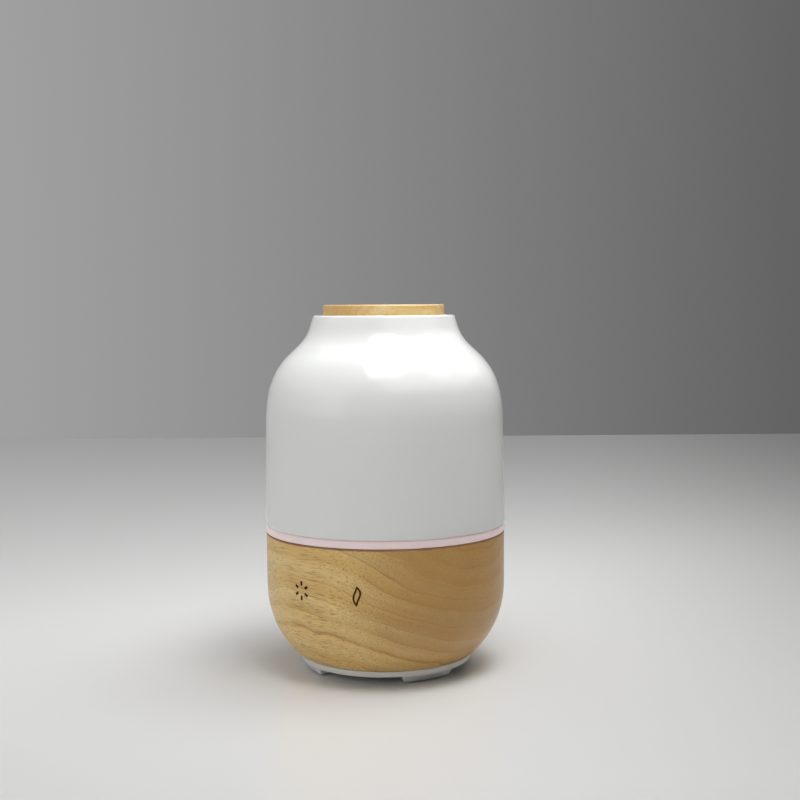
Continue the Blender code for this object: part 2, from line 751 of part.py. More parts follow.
def fan_blade(index):
    """One blade: a helical sheet from the hub to just inside the frame's bore."""
    rows, columns = 2, 4
    bm = bmesh.new()
    grid = []
    for i in range(rows):
        radius = 8.0 + (13.5 - 8.0) * i / (rows - 1)
        line = []
        for j in range(columns):
            share = j / (columns - 1) - 0.5
            bearing = 360 * index / BLADES + share * 42
            x, y = around(bearing, radius)
            line.append(bm.verts.new((x * MM, y * MM, (FAN_BOTTOM_Z + 5.7 + share * 5.6) * MM)))
        grid.append(line)
    for i in range(rows - 1):
        for j in range(columns - 1):
            bm.faces.new((grid[i][j], grid[i + 1][j], grid[i + 1][j + 1], grid[i][j + 1]))
    blade = add_object(f"blade_{index}", mesh_from(bm, "blade"), None)
    thick = blade.modifiers.new("Thickness", "SOLIDIFY")
    thick.thickness = 0.8 * MM
    thick.offset = 0.0
    return blade


def fan_rotor():
    """Impeller, magnet and shaft, modelled about the fan's axis."""
    top = FAN_TOP_Z - 0.6
    hub = [
        (1.05, top),
        (7.9, top),
        (8.5, top - 0.6),
        (8.5, FAN_BOTTOM_Z + 2.1),
        (7.7, FAN_BOTTOM_Z + 2.1),
        (7.7, top - 1.0),
        (1.8, top - 1.0),
        (1.8, top - 1.6),
        (1.05, top - 1.6),
    ]
    impeller = turned("fan_impeller", hub, "black_plastic", ROUND_STEPS)
    combine(impeller, "UNION", [fan_blade(i) for i in range(BLADES)])
    high, low = FAN_BOTTOM_Z + 7.9, FAN_BOTTOM_Z + 2.5
    magnet = turned("fan_magnet", [(7.4, high), (7.4, low), (6.8, low), (6.8, high)], "ferrite", ROUND_STEPS)
    shaft = cylinder("fan_shaft", 0.75, FAN_BOTTOM_Z + 1.9, top - 0.1, "steel", steps=SCREW_STEPS)
    return [impeller, magnet, shaft]


# ---------------------------------------------------------------- base: electronics


def main_board():
    """Driver board on three standoffs, with its screws and main components."""
    bottom, top = MAIN_BOARD_Z, MAIN_BOARD_Z + BOARD_THICKNESS
    outline = [(-34.0, -17.0), (-32.0, -19.0), (-9.5, -19.0), (-9.5, 13.0), (-32.0, 13.0), (-34.0, 11.0)]
    holes = [circle(1.3, place, SCREW_STEPS) for place in BOARD_STANDOFFS]
    made = [extruded("main_board", [outline, *holes], bottom, top, "green_board")]
    for i, place in enumerate(BOARD_STANDOFFS):
        made.append(screw(f"board_screw_{i + 1}", place, top + GAP, 1.3, 8.0, 1.9, 0.9))

    seat = top + GAP
    drum = [(0, seat + 8), (4.5, seat + 8), (4.5, seat + 6.8), (3.2, seat + 6.3), (3.2, seat + 1.7)]
    drum += [(4.5, seat + 1.2), (4.5, seat), (0, seat)]
    made.append(turned("power_inductor", drum, "ferrite", SMALL_STEPS, (-25.0, -4.0)))
    for i, (place, radius, height) in enumerate((((-27.5, 7.5), 3.0, 10.5), ((-20.6, 9.3), 2.4, 8.0))):
        can = [(0, seat + height), (radius - 0.4, seat + height), (radius, seat + height - 0.4)]
        can += [(radius, seat + 1.4), (radius - 0.3, seat + 1.0), (radius, seat + 0.6)]
        can += [(radius, seat), (0, seat)]
        made.append(turned(f"capacitor_{i + 1}", can, "black_plastic", SMALL_STEPS, place))
    made.append(box("controller_chip", (-21.5, -14.5, seat), (-15.0, -10.0, seat + 1.6), "black_plastic"))
    made.append(heat_sink(seat))
    made.append(transistor(seat))
    return made


def heat_sink(seat):
    """Extruded aluminium sink: a back plate with four fins."""
    left, right, back = -20.0, -11.0, -0.4
    outline = [(left, back), (right, back)]
    pitch = (right - left - 1.2) / 3
    for i in reversed(range(4)):
        x = left + i * pitch
        outline += [(x + 1.2, back + 5.5), (x, back + 5.5)]
        if i:
            outline += [(x, back + 1.4), (x - pitch + 1.2, back + 1.4)]
    return extruded("heat_sink", [outline], seat, seat + 11.0, "aluminium")


def transistor(seat):
    """Power transistor standing against the heat sink: a moulded body with a metal-backed tab."""
    case = box("transistor", (-19.5, -3.9, seat + 2.6), (-11.5, -0.7, seat + 8.6), "black_plastic")
    tab = box("transistor_tab", (-19.5, -1.9, seat + 8.0), (-11.5, -0.7, seat + 11.5))
    legs = [box("leg", (x - 0.4, -2.8, seat), (x + 0.4, -2.2, seat + 3.0)) for x in (-17.9, -15.5, -13.1)]
    combine(case, "UNION", [tab, *legs])
    return case


def led_board():
    """Ring-shaped board under the tank's edge. Its lamps shine up past the tank into the light ring."""
    top = LED_BOARD_Z + 1.2
    holes = [circle(37.0, steps=INNER_STEPS)]
    holes += [circle(1.2, around(bearing, LED_STAKE_CIRCLE), SCREW_STEPS) for bearing in LED_STAKE_BEARINGS]
    board = extruded("led_board", [circle(46.5, steps=INNER_STEPS), *holes], LED_BOARD_Z, top, "white_board")
    combine(board, "DIFFERENCE", [box("lead_notch", (-11.0, -48.0, 33.0), (-5.0, -42.0, 37.0))])
    made = [board]
    for i, bearing in enumerate(LED_BEARINGS):
        lamp = box(f"led_{i + 1}", (-2.5, -2.5, top + GAP), (2.5, 2.5, top + GAP + 1.6), "led")
        x, y = around(bearing, 43.4)
        lamp.location.x = x * MM
        lamp.location.y = y * MM
        lamp.rotation_euler.z = radians(bearing)
        made.append(lamp)
    return made


def touch_spring(name, bearing):
    """Flat coiled contact that presses on the inside of the wood behind a touch mark."""
    outer_end, inner_end = 48.2, 46.9
    turns, per_turn = 2, 8
    out = Vector((*around(bearing, 1), 0))
    side = Vector((-out.y, out.x, 0))
    up = Vector((0, 0, 1))
    route = []
    for i in range(round(turns * per_turn) + 1):
        share = i / (turns * per_turn)
        angle = 2 * pi * i / per_turn
        width = 3.2 - 1.4 * share
        place = out * (outer_end + (inner_end - outer_end) * share) + up * TOUCH_Z
        route.append(place + side * width * cos(angle) + up * width * sin(angle))
    return wire(name, route, 0.3, "steel")


def touch_sensor():
    """Touch board behind the two marks in the wood, its two spring contacts and the clip that holds it."""
    face = -44.3
    made = [box("touch_board", (-15.0, face, 38.2), (15.0, face + 1.0, 50.0), "green_board")]
    made.append(touch_spring("touch_spring_light", -TOUCH_BEARING))
    made.append(touch_spring("touch_spring_mist", TOUCH_BEARING))
    clip = box("touch_bracket", (-17.0, face - 0.8, 50.4), (17.0, face + 1.0, 52.4), "white_plastic")
    rails = [
        box("rail", (min(a, b), face - 0.8, 38.2), (max(a, b), face + 1.3, 60.0))
        for a, b in ((15.4, 17.0), (-15.4, -17.0))
    ]
    combine(clip, "UNION", rails)
    made.append(clip)
    return made


def power_socket():
    """Power socket facing down into the plate's recess, with its centre pin."""
    x, y = JACK_CENTRE
    case = box("dc_jack", (x - 4.5, y - 5.0, 14.3), (x + 4.5, y + 5.0, 26.5), "black_plastic")
    combine(case, "UNION", [cylinder("barrel", 3.6, 12.8, 15.0, centre=JACK_CENTRE)])
    bore = cylinder("barrel_bore", 2.9, 12.0, 23.0, centre=JACK_CENTRE)
    seat = cylinder("pin_seat", 1.35, 22.0, 24.3, centre=JACK_CENTRE, steps=SCREW_STEPS)
    combine(case, "DIFFERENCE", [bore, seat])
    pin = cylinder("dc_jack_pin", 1.0, 13.4, 24.0, "brass", JACK_CENTRE, SCREW_STEPS)
    return [case, pin]


def leads():
    """The leads between the boards, the socket, the fan and the transducer, each along its own route."""
    end = MAIN_BOARD_Z + BOARD_THICKNESS + 1.2
    routes = {
        "jack_lead": [
            (-2, 26, 27.7), (-3, 24.5, 30.5), (-7, 17, 30), (-10, 9.5, 25), (-10.6, 7, 21),
            (-10.6, 6.6, end),
        ],
        "fan_lead": [
            (1.2, -8, 13.6), (-1.5, -8, 13.9), (-5, -8.5, 17.2), (-8, -9, 21.5), (-11, -9, 21.5),
            (-11.6, -9, end),
        ],
        "led_lead": [
            (-39.5, 5, 33), (-38.5, 4.8, 30), (-35.5, 3.5, 25), (-33, 2.5, 21), (-32.6, 2.4, end),
        ],
        "touch_lead": [
            (-8, -43.8, 37), (-8, -43.8, 32), (-9, -38, 26), (-12, -28, 23), (-15, -20, 22),
            (-16, -17.2, end),
        ],
        "transducer_lead": [
            (-14, 0, 36.4), (-14.5, -1, 32.5), (-18, -6, 29), (-22, -10, 24), (-23.8, -11.5, end),
        ],
    }
    made = []
    for name, points in routes.items():
        finish = "red_lead" if name == "transducer_lead" else "grey_lead"
        made.append(wire(name, smooth_route(points, 3.2), 0.9, finish))
    return made


# ---------------------------------------------------------------- assembly


def main():
    """Builds every piece and hangs it from the empty of the rigid body that it belongs to."""
    bodies = {
        body("base_body"): [
            wood_shell(),
            light_ring(),
            water_tank(),
            air_vent_cap(),
            *transducer(),
            bottom_plate(),
            *feet_and_screws(),
            fan_frame(),
            *fan_motor(),
            air_duct(),
            *main_board(),
            *led_board(),
            *touch_sensor(),
            *power_socket(),
            *leads(),
        ],
        body("fan_rotor_body", FAN_CENTRE): fan_rotor(),
        body("inner_lid_body"): [splash_lid()],
        body("cover_body"): [cover_shell(), neck_insert(), neck_seal(), mist_disc()],
    }
    for empty, pieces in bodies.items():
        for piece in pieces:
            piece.parent = empty
            for modifier in piece.modifiers:
                if modifier.type == "BOOLEAN":
                    for helper in modifier.collection.objects:
                        helper.parent = empty
            if piece.type == "MESH":
                piece.data.shade_smooth()
                piece.data.set_sharp_from_angle(angle=radians(35))


main()
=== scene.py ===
"""The looks of an ultrasonic essential oil diffuser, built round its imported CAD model.

The shells that show are remade here with fine surfaces, in the places that the CAD gives. Lengths are in
millimetres, and MM turns them into metres. A bearing is an angle seen from above, counted from the front
(-Y) towards +X.
"""

import json
from math import ceil, cos, degrees, pi, radians, sin, sqrt, tan

import bmesh
import bpy
from mathutils import Matrix, Vector


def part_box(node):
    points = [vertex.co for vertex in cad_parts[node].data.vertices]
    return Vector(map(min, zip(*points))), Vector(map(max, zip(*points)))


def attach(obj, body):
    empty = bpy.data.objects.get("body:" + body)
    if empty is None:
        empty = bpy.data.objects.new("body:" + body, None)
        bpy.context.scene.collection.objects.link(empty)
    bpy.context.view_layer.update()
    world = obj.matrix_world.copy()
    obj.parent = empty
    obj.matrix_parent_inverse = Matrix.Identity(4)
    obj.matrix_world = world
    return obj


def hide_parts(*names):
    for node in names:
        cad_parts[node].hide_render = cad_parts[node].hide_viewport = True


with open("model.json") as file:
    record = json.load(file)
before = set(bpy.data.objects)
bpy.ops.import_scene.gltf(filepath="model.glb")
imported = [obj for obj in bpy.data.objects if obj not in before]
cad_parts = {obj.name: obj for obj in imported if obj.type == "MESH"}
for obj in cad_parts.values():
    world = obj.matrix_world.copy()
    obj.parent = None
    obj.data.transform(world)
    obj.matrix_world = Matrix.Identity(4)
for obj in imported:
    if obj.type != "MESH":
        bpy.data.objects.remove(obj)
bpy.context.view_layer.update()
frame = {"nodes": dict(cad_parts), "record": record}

MM = 0.001
FINE = 224
MEDIUM = 96
SMALL = 40
SHARP_ANGLE = radians(32)


def span(node):
    """The lowest and highest corners of a CAD node, in millimetres."""
    low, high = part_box(node)
    return low / MM, high / MM


def middle(node):
    """The middle of a CAD node in plan, in millimetres."""
    low, high = span(node)
    return ((low.x + high.x) / 2, (low.y + high.y) / 2)


COVER_LOW, COVER_HIGH = span("cover_shell")
DISC_LOW, DISC_HIGH = span("mist_disc")
INSERT_LOW, INSERT_HIGH = span("neck_insert")
RING_LOW, RING_HIGH = span("light_ring")
WOOD_LOW, WOOD_HIGH = span("wood_shell")
PLATE_LOW, PLATE_HIGH = span("bottom_plate")
TANK_HIGH = span("water_tank")[1]
LID_LOW, LID_HIGH = span("splash_lid")

COVER_WALL = 3.8
COVER_RADIUS = COVER_HIGH.x
COVER_BASE = COVER_LOW.z
RIM_Z = COVER_HIGH.z
DISC_RADIUS = DISC_HIGH.x
DISC_TOP = DISC_HIGH.z
BORE = DISC_RADIUS + 0.35
WOOD_RADIUS = WOOD_HIGH.x
WOOD_BASE = WOOD_LOW.z
WOOD_TOP = WOOD_HIGH.z
PLATE_RADIUS = PLATE_HIGH.x
FOOT_BOTTOM = PLATE_LOW.z
UNDERSIDE = 4.3
RIM_BOTTOM = 3.5
NOZZLE_BORE = 7.3
NOZZLE_WALL = 1.6

FOOT_BEARINGS = (58.0, -43.0, 142.5, -123.5)
FOOT_HALF_ANGLE = 19.0
FOOT_LEAN = 0.55
FOOT_INNER = 26.5
POST_CIRCLE = 31.5
POST_BEARINGS = (56.5, -37.5, 142.5, -123.5)
TOUCH_BEARING = 14.4
TOUCH_Z = 43.1
MARK_SINK = 0.04

PIECES = bpy.data.collections.new("essential_oil_diffuser")
HELPERS = bpy.data.collections.new("helpers")
bpy.context.scene.collection.children.link(PIECES)
bpy.context.scene.collection.children.link(HELPERS)


# ---------------------------------------------------------------- mesh helpers


def around(bearing, radius, centre=(0, 0)):
    """The point in plan at this bearing and radius."""
    return (centre[0] + radius * sin(radians(bearing)), centre[1] - radius * cos(radians(bearing)))


def finish_mesh(bm, name, finish=None):
    """Turns a bmesh in millimetres into an object in metres, smooth but for its real edges."""
    bmesh.ops.scale(bm, vec=(MM, MM, MM), verts=bm.verts)
    mesh = bpy.data.meshes.new(name)
    bm.to_mesh(mesh)
    bm.free()
    mesh.shade_smooth()
    mesh.set_sharp_from_angle(angle=SHARP_ANGLE)
    obj = bpy.data.objects.new(name, mesh)
    if finish:
        mesh.materials.append(finish)
    (PIECES if finish else HELPERS).objects.link(obj)
    return obj


def softened(outline, closed=True, step=15):
    """Rounds an outline's corners: a point is (radius, height) or (radius, height, rounding)."""
    count = len(outline)
    made = []
    for i, point in enumerate(outline):
        here = Vector(point[:2])
        rounding = point[2] if len(point) > 2 else 0
        if not rounding or (not closed and i in (0, count - 1)):
            made.append(here)
            continue
        before = Vector(outline[i - 1][:2]) - here
        after = Vector(outline[(i + 1) % count][:2]) - here
        corner = before.angle(after)
        turn = pi - corner
        reach = rounding * tan(turn / 2)
        first = here + before.normalized() * reach
        toward = (before.normalized() + after.normalized()).normalized()
        centre = here + toward * (rounding / sin(corner / 2))
        start = first - centre
        side = 1 if before.cross(after) < 0 else -1
        steps = max(2, ceil(degrees(turn) / step))
        for k in range(steps + 1):
            angle = -side * turn * k / steps
            made.append(centre + Matrix.Rotation(-angle, 2) @ start)
    return made


def lathe(outline, steps, centre):
    """Turns an outline, down its outer side, about an upright axis. It closes unless its ends are on the
    axis."""
    bm = bmesh.new()
    rows = []
    for r, z in outline:
        if r < 1e-6:
            rows.append([bm.verts.new((*centre, z))])
        else:
            rows.append([bm.verts.new((*around(360 * j / steps, r, centre), z)) for j in range(steps)])
    pairs = list(zip(rows, rows[1:]))
    if outline[0][0] > 1e-6:
        pairs.append((rows[-1], rows[0]))
    for upper, lower in pairs:
        for j in range(steps):
            k = (j + 1) % steps
            corners = [row[i % len(row)] for row, i in ((upper, j), (lower, j), (lower, k), (upper, k))]
            corners = list(dict.fromkeys(corners))
            if len(corners) > 2:
                bm.faces.new(corners)
    return bm


def turned(name, outline, finish=None, steps=FINE, centre=(0, 0)):
    """A turned piece with softened corners."""
    points = softened(outline, closed=outline[0][0] > 1e-6)
    return finish_mesh(lathe(points, steps, centre), name, finish)


def cylinder(name, radius, bottom, top, centre=(0, 0), steps=SMALL):
    """A plain upright cylinder, for a Boolean."""
    return turned(name, [(0, top), (radius, top), (radius, bottom), (0, bottom)], None, steps, centre)


def box(name, low, high, rounding=0.0, finish=None):
    """A box between its lowest and highest corners, with rounded edges."""
    bm = bmesh.new()
    bmesh.ops.create_cube(bm, size=1)
    bmesh.ops.scale(bm, vec=[b - a for a, b in zip(low, high)], verts=bm.verts)
    bmesh.ops.translate(bm, vec=[(a + b) / 2 for a, b in zip(low, high)], verts=bm.verts)
    if rounding:
        bmesh.ops.bevel(bm, geom=bm.edges[:], offset=rounding, segments=3, profile=0.5, affect="EDGES")
    return finish_mesh(bm, name, finish)


def loft(sections):
    """A closed skin through sections with the same number of points."""
    bm = bmesh.new()
    rows = [[bm.verts.new(point) for point in section] for section in sections]
    for near, far in zip(rows, rows[1:]):
        for i, corner in enumerate(near):
            j = (i + 1) % len(near)
            bm.faces.new((corner, near[j], far[j], far[i]))
    bm.faces.new(reversed(rows[0]))
    bm.faces.new(rows[-1])
    bmesh.ops.recalc_face_normals(bm, faces=bm.faces)
    return bm


def combine(obj, operation, helpers):
    """One exact Boolean with a group of helper shapes, applied at once."""
    group = bpy.data.collections.new(f"{obj.name}_{operation.lower()}")
    bpy.context.scene.collection.children.link(group)
    for helper in helpers:
        HELPERS.objects.unlink(helper)
        group.objects.link(helper)
    modifier = obj.modifiers.new(operation, "BOOLEAN")
    modifier.operation = operation
    modifier.operand_type = "COLLECTION"
    modifier.collection = group
    modifier.solver = "EXACT"
    modifier.material_mode = "TRANSFER"
    graph = bpy.context.evaluated_depsgraph_get()
    mesh = bpy.data.meshes.new_from_object(obj.evaluated_get(graph))
    obj.modifiers.clear()
    obj.data = mesh
    mesh.shade_smooth()
    mesh.set_sharp_from_angle(angle=SHARP_ANGLE)
    for helper in helpers:
        bpy.data.objects.remove(helper)
    bpy.data.collections.remove(group)


def meridian(start, slope, moves, step=4):
    """An outline walked from a start point. The slope is the angle outward from straight down. A move is
    ("line", length) or ("arc", radius, new slope). Returns (radius, height, slope) at each point."""
    r, z, a = *start, radians(slope)
    walked = [(r, z, a)]
    for kind, size, *turn in moves:
        if kind == "line":
            r, z = r + size * sin(a), z - size * cos(a)
            walked.append((r, z, a))
            continue
        target = radians(turn[0])
        bulge = 1 if target < a else -1
        count = max(3, ceil(abs(degrees(target - a)) / step))
        middle_r, middle_z = r - bulge * size * cos(a), z - bulge * size * sin(a)
        for i in range(1, count + 1):
            b = a + (target - a) * i / count
            walked.append((middle_r + bulge * size * cos(b), middle_z + bulge * size * sin(b), b))
        r, z, a = walked[-1]
    return walked


# ---------------------------------------------------------------- materials


class Shader:
    """A node material: each call adds one node, and takes sockets or plain values as its inputs."""

    def __init__(self, name):
        self.material = bpy.data.materials.new(name)
        self.material.use_nodes = True
        self.tree = self.material.node_tree
        self.surface = self.tree.nodes["Principled BSDF"]

    def add(self, kind, inputs=(), output=0, **settings):
        node = self.tree.nodes.new("ShaderNode" + kind)
        for key, value in settings.items():
            setattr(node, key, value)
        for key, value in dict(inputs).items():
            self.feed(node.inputs[key], value)
        return node.outputs[output]

    def feed(self, socket, value):
        if isinstance(value, bpy.types.NodeSocket):
            self.tree.links.new(value, socket)
        elif isinstance(value, (tuple, list)) and len(value) == 3 and socket.type == "RGBA":
            socket.default_value = (*value, 1.0)
        else:
            socket.default_value = value

    def set(self, **inputs):
        """Sets the surface's inputs, written with _ for a space."""
        for key, value in inputs.items():
            self.feed(self.surface.inputs[key.replace("_", " ")], value)

    def colour(self):
        """What the surface's colour comes from so far."""
        return self.surface.inputs["Base Color"].links[0].from_socket

    def place(self):
        """Where a point is on its piece, in millimetres."""
        spot = self.add("TexCoord", output="Object")
        return self.add("VectorMath", {0: spot, 3: 1 / MM}, operation="SCALE")

    def math(self, operation, first, second=0.0, third=0.0):
        return self.add("Math", {0: first, 1: second, 2: third}, operation=operation)

    def scaled(self, vector, factors):
        """A vector with each of its components multiplied."""
        return self.add("VectorMath", {0: vector, 1: factors}, operation="MULTIPLY")

    def parts(self, vector):
        """A vector's three components."""
        node = self.tree.nodes.new("ShaderNodeSeparateXYZ")
        self.feed(node.inputs[0], vector)
        return node.outputs

    def along(self, vector, bearing):
        """How far a vector reaches along a bearing."""
        values = {0: vector, 1: (*around(bearing, 1.0), 0)}
        return self.add("VectorMath", values, output="Value", operation="DOT_PRODUCT")

    def noise(self, vector, scale, detail=2.0, roughness=0.5, output=0):
        values = {"Vector": vector, "Scale": scale, "Detail": detail, "Roughness": roughness}
        return self.add("TexNoise", values, output=output)

    def uneven(self, place, scale, detail):
        """Noise along a line, the same all the way round a growth ring."""
        values = {"W": self.math("MULTIPLY", place, scale), "Detail": detail}
        return self.add("TexNoise", values, noise_dimensions="1D")

    def fade(self, value, low, high, to_low=0.0, to_high=1.0):
        """Maps low..high to to_low..to_high, smoothly and clamped."""
        values = {"Value": value, "From Min": low, "From Max": high, "To Min": to_low, "To Max": to_high}
        return self.add("MapRange", values, interpolation_type="SMOOTHSTEP")

    def mix(self, share, first, second, blend="MIX"):
        node = self.tree.nodes.new("ShaderNodeMix")
        node.data_type = "RGBA"
        node.blend_type = blend
        self.feed(node.inputs[0], share)
        self.feed(node.inputs[6], first)
        self.feed(node.inputs[7], second)
        return node.outputs[2]

    def bump(self, height, depth, strength=1.0, onto=None):
        """Raises the surface by height (0 to 1) times depth in millimetres."""
        values = {"Strength": strength, "Distance": depth * MM, "Height": height}
        if onto:
            values["Normal"] = onto
        return self.add("Bump", values)


def glaze():
    """White glaze: near-flat colour, a high gloss, and the slow waviness of a fired surface."""
    s = Shader("glaze")
    place = s.place()
    drift = s.noise(place, 0.02, 2.0)
    wave = s.noise(place, 0.06, 1.0)
    specks = s.noise(place, 1.6, 2.0)
    colour = s.mix(drift, (0.79, 0.80, 0.785), (0.81, 0.815, 0.805))
    s.set(Base_Color=colour, Roughness=s.fade(specks, 0.3, 0.7, 0.075, 0.11), IOR=1.5)
    s.set(Normal=s.bump(wave, 0.004, 0.5))
    return s.material


def along_grain(s, vector, grain_bearing):
    """A vector turned so that its X runs along the grain."""
    values = {"Vector": vector, "Angle": radians(90 - grain_bearing)}
    return s.add("VectorRotate", values, rotation_type="Z_AXIS")


def swaying(s, place):
    """A place pushed aside by slow noise, so that the grain sways."""
    reach = 22.0
    sway = s.noise(place, 0.016, output="Color")
    sway = s.add("VectorMath", {0: sway, 1: (0.5, 0.5, 0.5)}, operation="SUBTRACT")
    sway = s.add("VectorMath", {0: sway, 3: reach}, operation="SCALE")
    return s.add("VectorMath", {0: place, 1: sway}, operation="ADD")


def growth_rings(s, place, pith, ring_width):
    """How dark the late wood is, and the slow change from ring to ring. The rings are tubes round a pith."""
    slant = 0.06
    along, across, up = s.parts(place)
    across = s.math("ADD", s.math("SUBTRACT", across, pith[0]), s.math("MULTIPLY", along, slant))
    up = s.math("SUBTRACT", up, pith[1])
    radius = s.math("SQRT", s.math("ADD", s.math("MULTIPLY", across, across), s.math("MULTIPLY", up, up)))
    radius = s.math("MULTIPLY_ADD", s.noise(place, 0.09, 3.0, 0.6), 2.6, radius)
    turns = s.math("DIVIDE", radius, ring_width)
    phase = s.math("FRACT", s.math("ADD", turns, s.math("MULTIPLY", s.uneven(turns, 0.37, 2.0), 1.2)))
    late = s.math("MULTIPLY_ADD", s.fade(phase, 0.80, 0.94), 0.6, s.fade(phase, 0.15, 0.9, 0.0, 0.4))
    late = s.math("MULTIPLY", late, s.fade(phase, 0.94, 1.0, 1.0, 0.0))
    strong = s.fade(s.noise(place, 0.04, 1.0), 0.35, 0.65, 0.25, 1.0)
    return s.math("MULTIPLY", late, strong), s.uneven(turns, 0.21, 1.0)


def pores(s, straight, bent):
    """Where an open pore shows: a dash along the grain, and a dot across it."""
    both = s.add("VectorMath", {0: straight, 1: bent}, operation="ADD")
    dash = s.noise(s.scaled(both, (0.06, 0.9, 0.9)), 1.0, 1.5, 0.45)
    crowd = s.fade(s.noise(straight, 0.05, 1.0), 0.3, 0.7, 0.61, 0.57)
    return s.fade(s.math("SUBTRACT", dash, crowd), -0.02, 0.06)


def end_grain(s, grain_bearing):
    """How squarely a face cuts the grain."""
    facing = along_grain(s, s.add("TexCoord", output="Normal"), grain_bearing)
    return s.fade(s.math("ABSOLUTE", s.parts(facing)[0]), 0.35, 0.95)


def wood(name, light, mid, dark, grain_bearing, pith, ring_width, pore_share):
    """Lacquered solid wood. The grain lies level along a bearing, and the pith is at (across, height) from
    the middle. Side grain shows dashes, and end grain shows freckles and drinks in more of the finish."""
    s = Shader(name)
    straight = along_grain(s, s.place(), grain_bearing)
    bent = swaying(s, straight)
    late, band = growth_rings(s, bent, pith, ring_width)
    fibre = s.noise(s.scaled(bent, (0.08, 1.5, 1.5)), 1.0, 3.0, 0.6)
    mottle = s.noise(straight, 0.11, 4.0, 0.65)
    pore = pores(s, straight, bent)
    ends = end_grain(s, grain_bearing)

    colour = s.mix(s.fade(band, 0.36, 0.64), light, mid)
    colour = s.mix(s.math("MULTIPLY", late, 0.75), colour, dark)
    colour = s.mix(s.fade(fibre, 0.3, 0.72, 0.0, 0.30), colour, dark)
    colour = s.mix(s.fade(mottle, 0.32, 0.72, 0.0, 0.25), colour, tuple(c * 0.72 for c in light))
    colour = s.mix(s.math("MULTIPLY", ends, 0.66), colour, dark)
    share = s.math("MULTIPLY", pore, s.math("MULTIPLY_ADD", ends, -0.5 * pore_share, pore_share))
    colour = s.mix(share, colour, (dark[0] * 0.85, dark[1] * 0.6, dark[2] * 0.35))
    s.set(Base_Color=colour, Roughness=s.fade(fibre, 0.3, 0.7, 0.27, 0.39), IOR=1.46)
    height = s.math("SUBTRACT", s.math("MULTIPLY", fibre, 0.3), s.math("MULTIPLY", pore, 0.2))
    s.set(Normal=s.bump(height, 0.04, 0.5))
    return s


def paint_top_edge_shade(s, height, reach):
    """Darkens a wood towards reddish brown near its turned top edge: painted shade along the line where the
    wood meets the ring.
    """
    place = s.place()
    wander = s.math("MULTIPLY_ADD", s.noise(place, 0.12), reach, height - 1.5 * reach)
    near = s.math("MULTIPLY", s.fade(s.math("SUBTRACT", s.parts(place)[2], wander), -0.3, 0.3), 0.85)
    # painted shade: a reddish-brown band blended in just under the wood's top edge, where the ring meets it
    s.set(Base_Color=s.mix(near, s.colour(), (0.24, 0.07, 0.02)))


def paint_upward_face_shade(s):
    """Darkens a wood's upper face: painted shade that tones down the faces turned towards the lamps above."""
    upward = s.fade(s.parts(s.add("TexCoord", output="Normal"))[2], 0.75, 0.98)
    # painted shade: faces turned upward are multiplied towards a dull brown
    s.set(Base_Color=s.mix(upward, s.colour(), (0.60, 0.50, 0.42), blend="MULTIPLY"))


def burnt():
    """Wood burnt by a laser: dark brown, dry and a little ridged."""
    s = Shader("burnt_wood")
    char = s.noise(s.place(), 3.5, 3.0)
    colour = s.mix(s.fade(char, 0.4, 0.6), (0.035, 0.012, 0.003), (0.15, 0.052, 0.012))
    s.set(Base_Color=colour, Roughness=1.0, Specular_IOR_Level=0.0)
    s.set(Normal=s.bump(char, 0.05))
    return s.material


def frosted():
    """Frosted ring with a faint pink light behind it."""
    s = Shader("frosted_ring")
    place = s.place()
    haze = s.noise(place, 0.07, 2.0)
    grain = s.noise(place, 6.0, 2.0)
    colour = s.mix(haze, (0.71, 0.62, 0.615), (0.74, 0.655, 0.65))
    s.set(Base_Color=colour, Roughness=s.fade(grain, 0.3, 0.7, 0.30, 0.42), IOR=1.35)
    s.set(Subsurface_Weight=0.25, Subsurface_Radius=(0.6, 0.35, 0.35), Subsurface_Scale=0.004)
    s.set(Emission_Color=(1.0, 0.72, 0.71), Emission_Strength=0.17)
    s.set(Normal=s.bump(grain, 0.015, 0.5))
    return s.material


def plastic(name, colour, roughness=0.4, texture=0.02, grain_scale=5.0, tint=0.05):
    """Moulded plastic or rubber with a fine spark texture and slow changes of shade."""
    s = Shader(name)
    place = s.place()
    grain = s.noise(place, grain_scale, 2.0)
    drift = s.noise(place, 0.08, 2.0)
    darker = tuple(c * (1 - tint) for c in colour)
    lighter = tuple(min(1.0, c * (1 + tint)) for c in colour)
    s.set(Base_Color=s.mix(drift, darker, lighter))
    s.set(Roughness=s.fade(grain, 0.3, 0.7, roughness - 0.05, roughness + 0.06))
    s.set(Normal=s.bump(grain, texture, 0.6))
    return s.material


def milky(name, colour, clarity):
    """Translucent moulded plastic, part clear and part scattering."""
    s = Shader(name)
    place = s.place()
    grain = s.noise(place, 4.0, 2.0)
    cloud = s.noise(place, 0.06, 2.0)
    s.set(Base_Color=s.mix(cloud, tuple(c * 0.95 for c in colour), colour), IOR=1.49)
    s.set(Roughness=s.fade(grain, 0.3, 0.7, 0.16, 0.26), Transmission_Weight=clarity)
    s.set(Normal=s.bump(grain, 0.01, 0.4))
    return s.material


def metal(name, colour, roughness, brushed=(0.4, 6.0, 6.0)):
    """Metal with fine drawn or plated streaks."""
    s = Shader(name)
    streak = s.noise(s.scaled(s.place(), brushed), 1.0, 3.0)
    s.set(Base_Color=s.mix(streak, tuple(c * 0.86 for c in colour), colour), Metallic=1.0)
    s.set(Roughness=s.fade(streak, 0.3, 0.7, roughness - 0.06, roughness + 0.08))
    s.set(Normal=s.bump(streak, 0.01, 0.5))
    return s.material


def circuit(name, mask, track):
    """A board's solder mask over raised tracks."""
    s = Shader(name)
    values = {"Vector": s.place(), "Scale": 0.28}
    cells = s.add("TexVoronoi", values, distance="CHEBYCHEV", feature="DISTANCE_TO_EDGE")
    line = s.fade(cells, 0.05, 0.08, 1.0, 0.0)
    s.set(Base_Color=s.mix(line, mask, track), Roughness=0.32)
    s.set(Normal=s.bump(line, 0.05, 0.6))
    return s.material


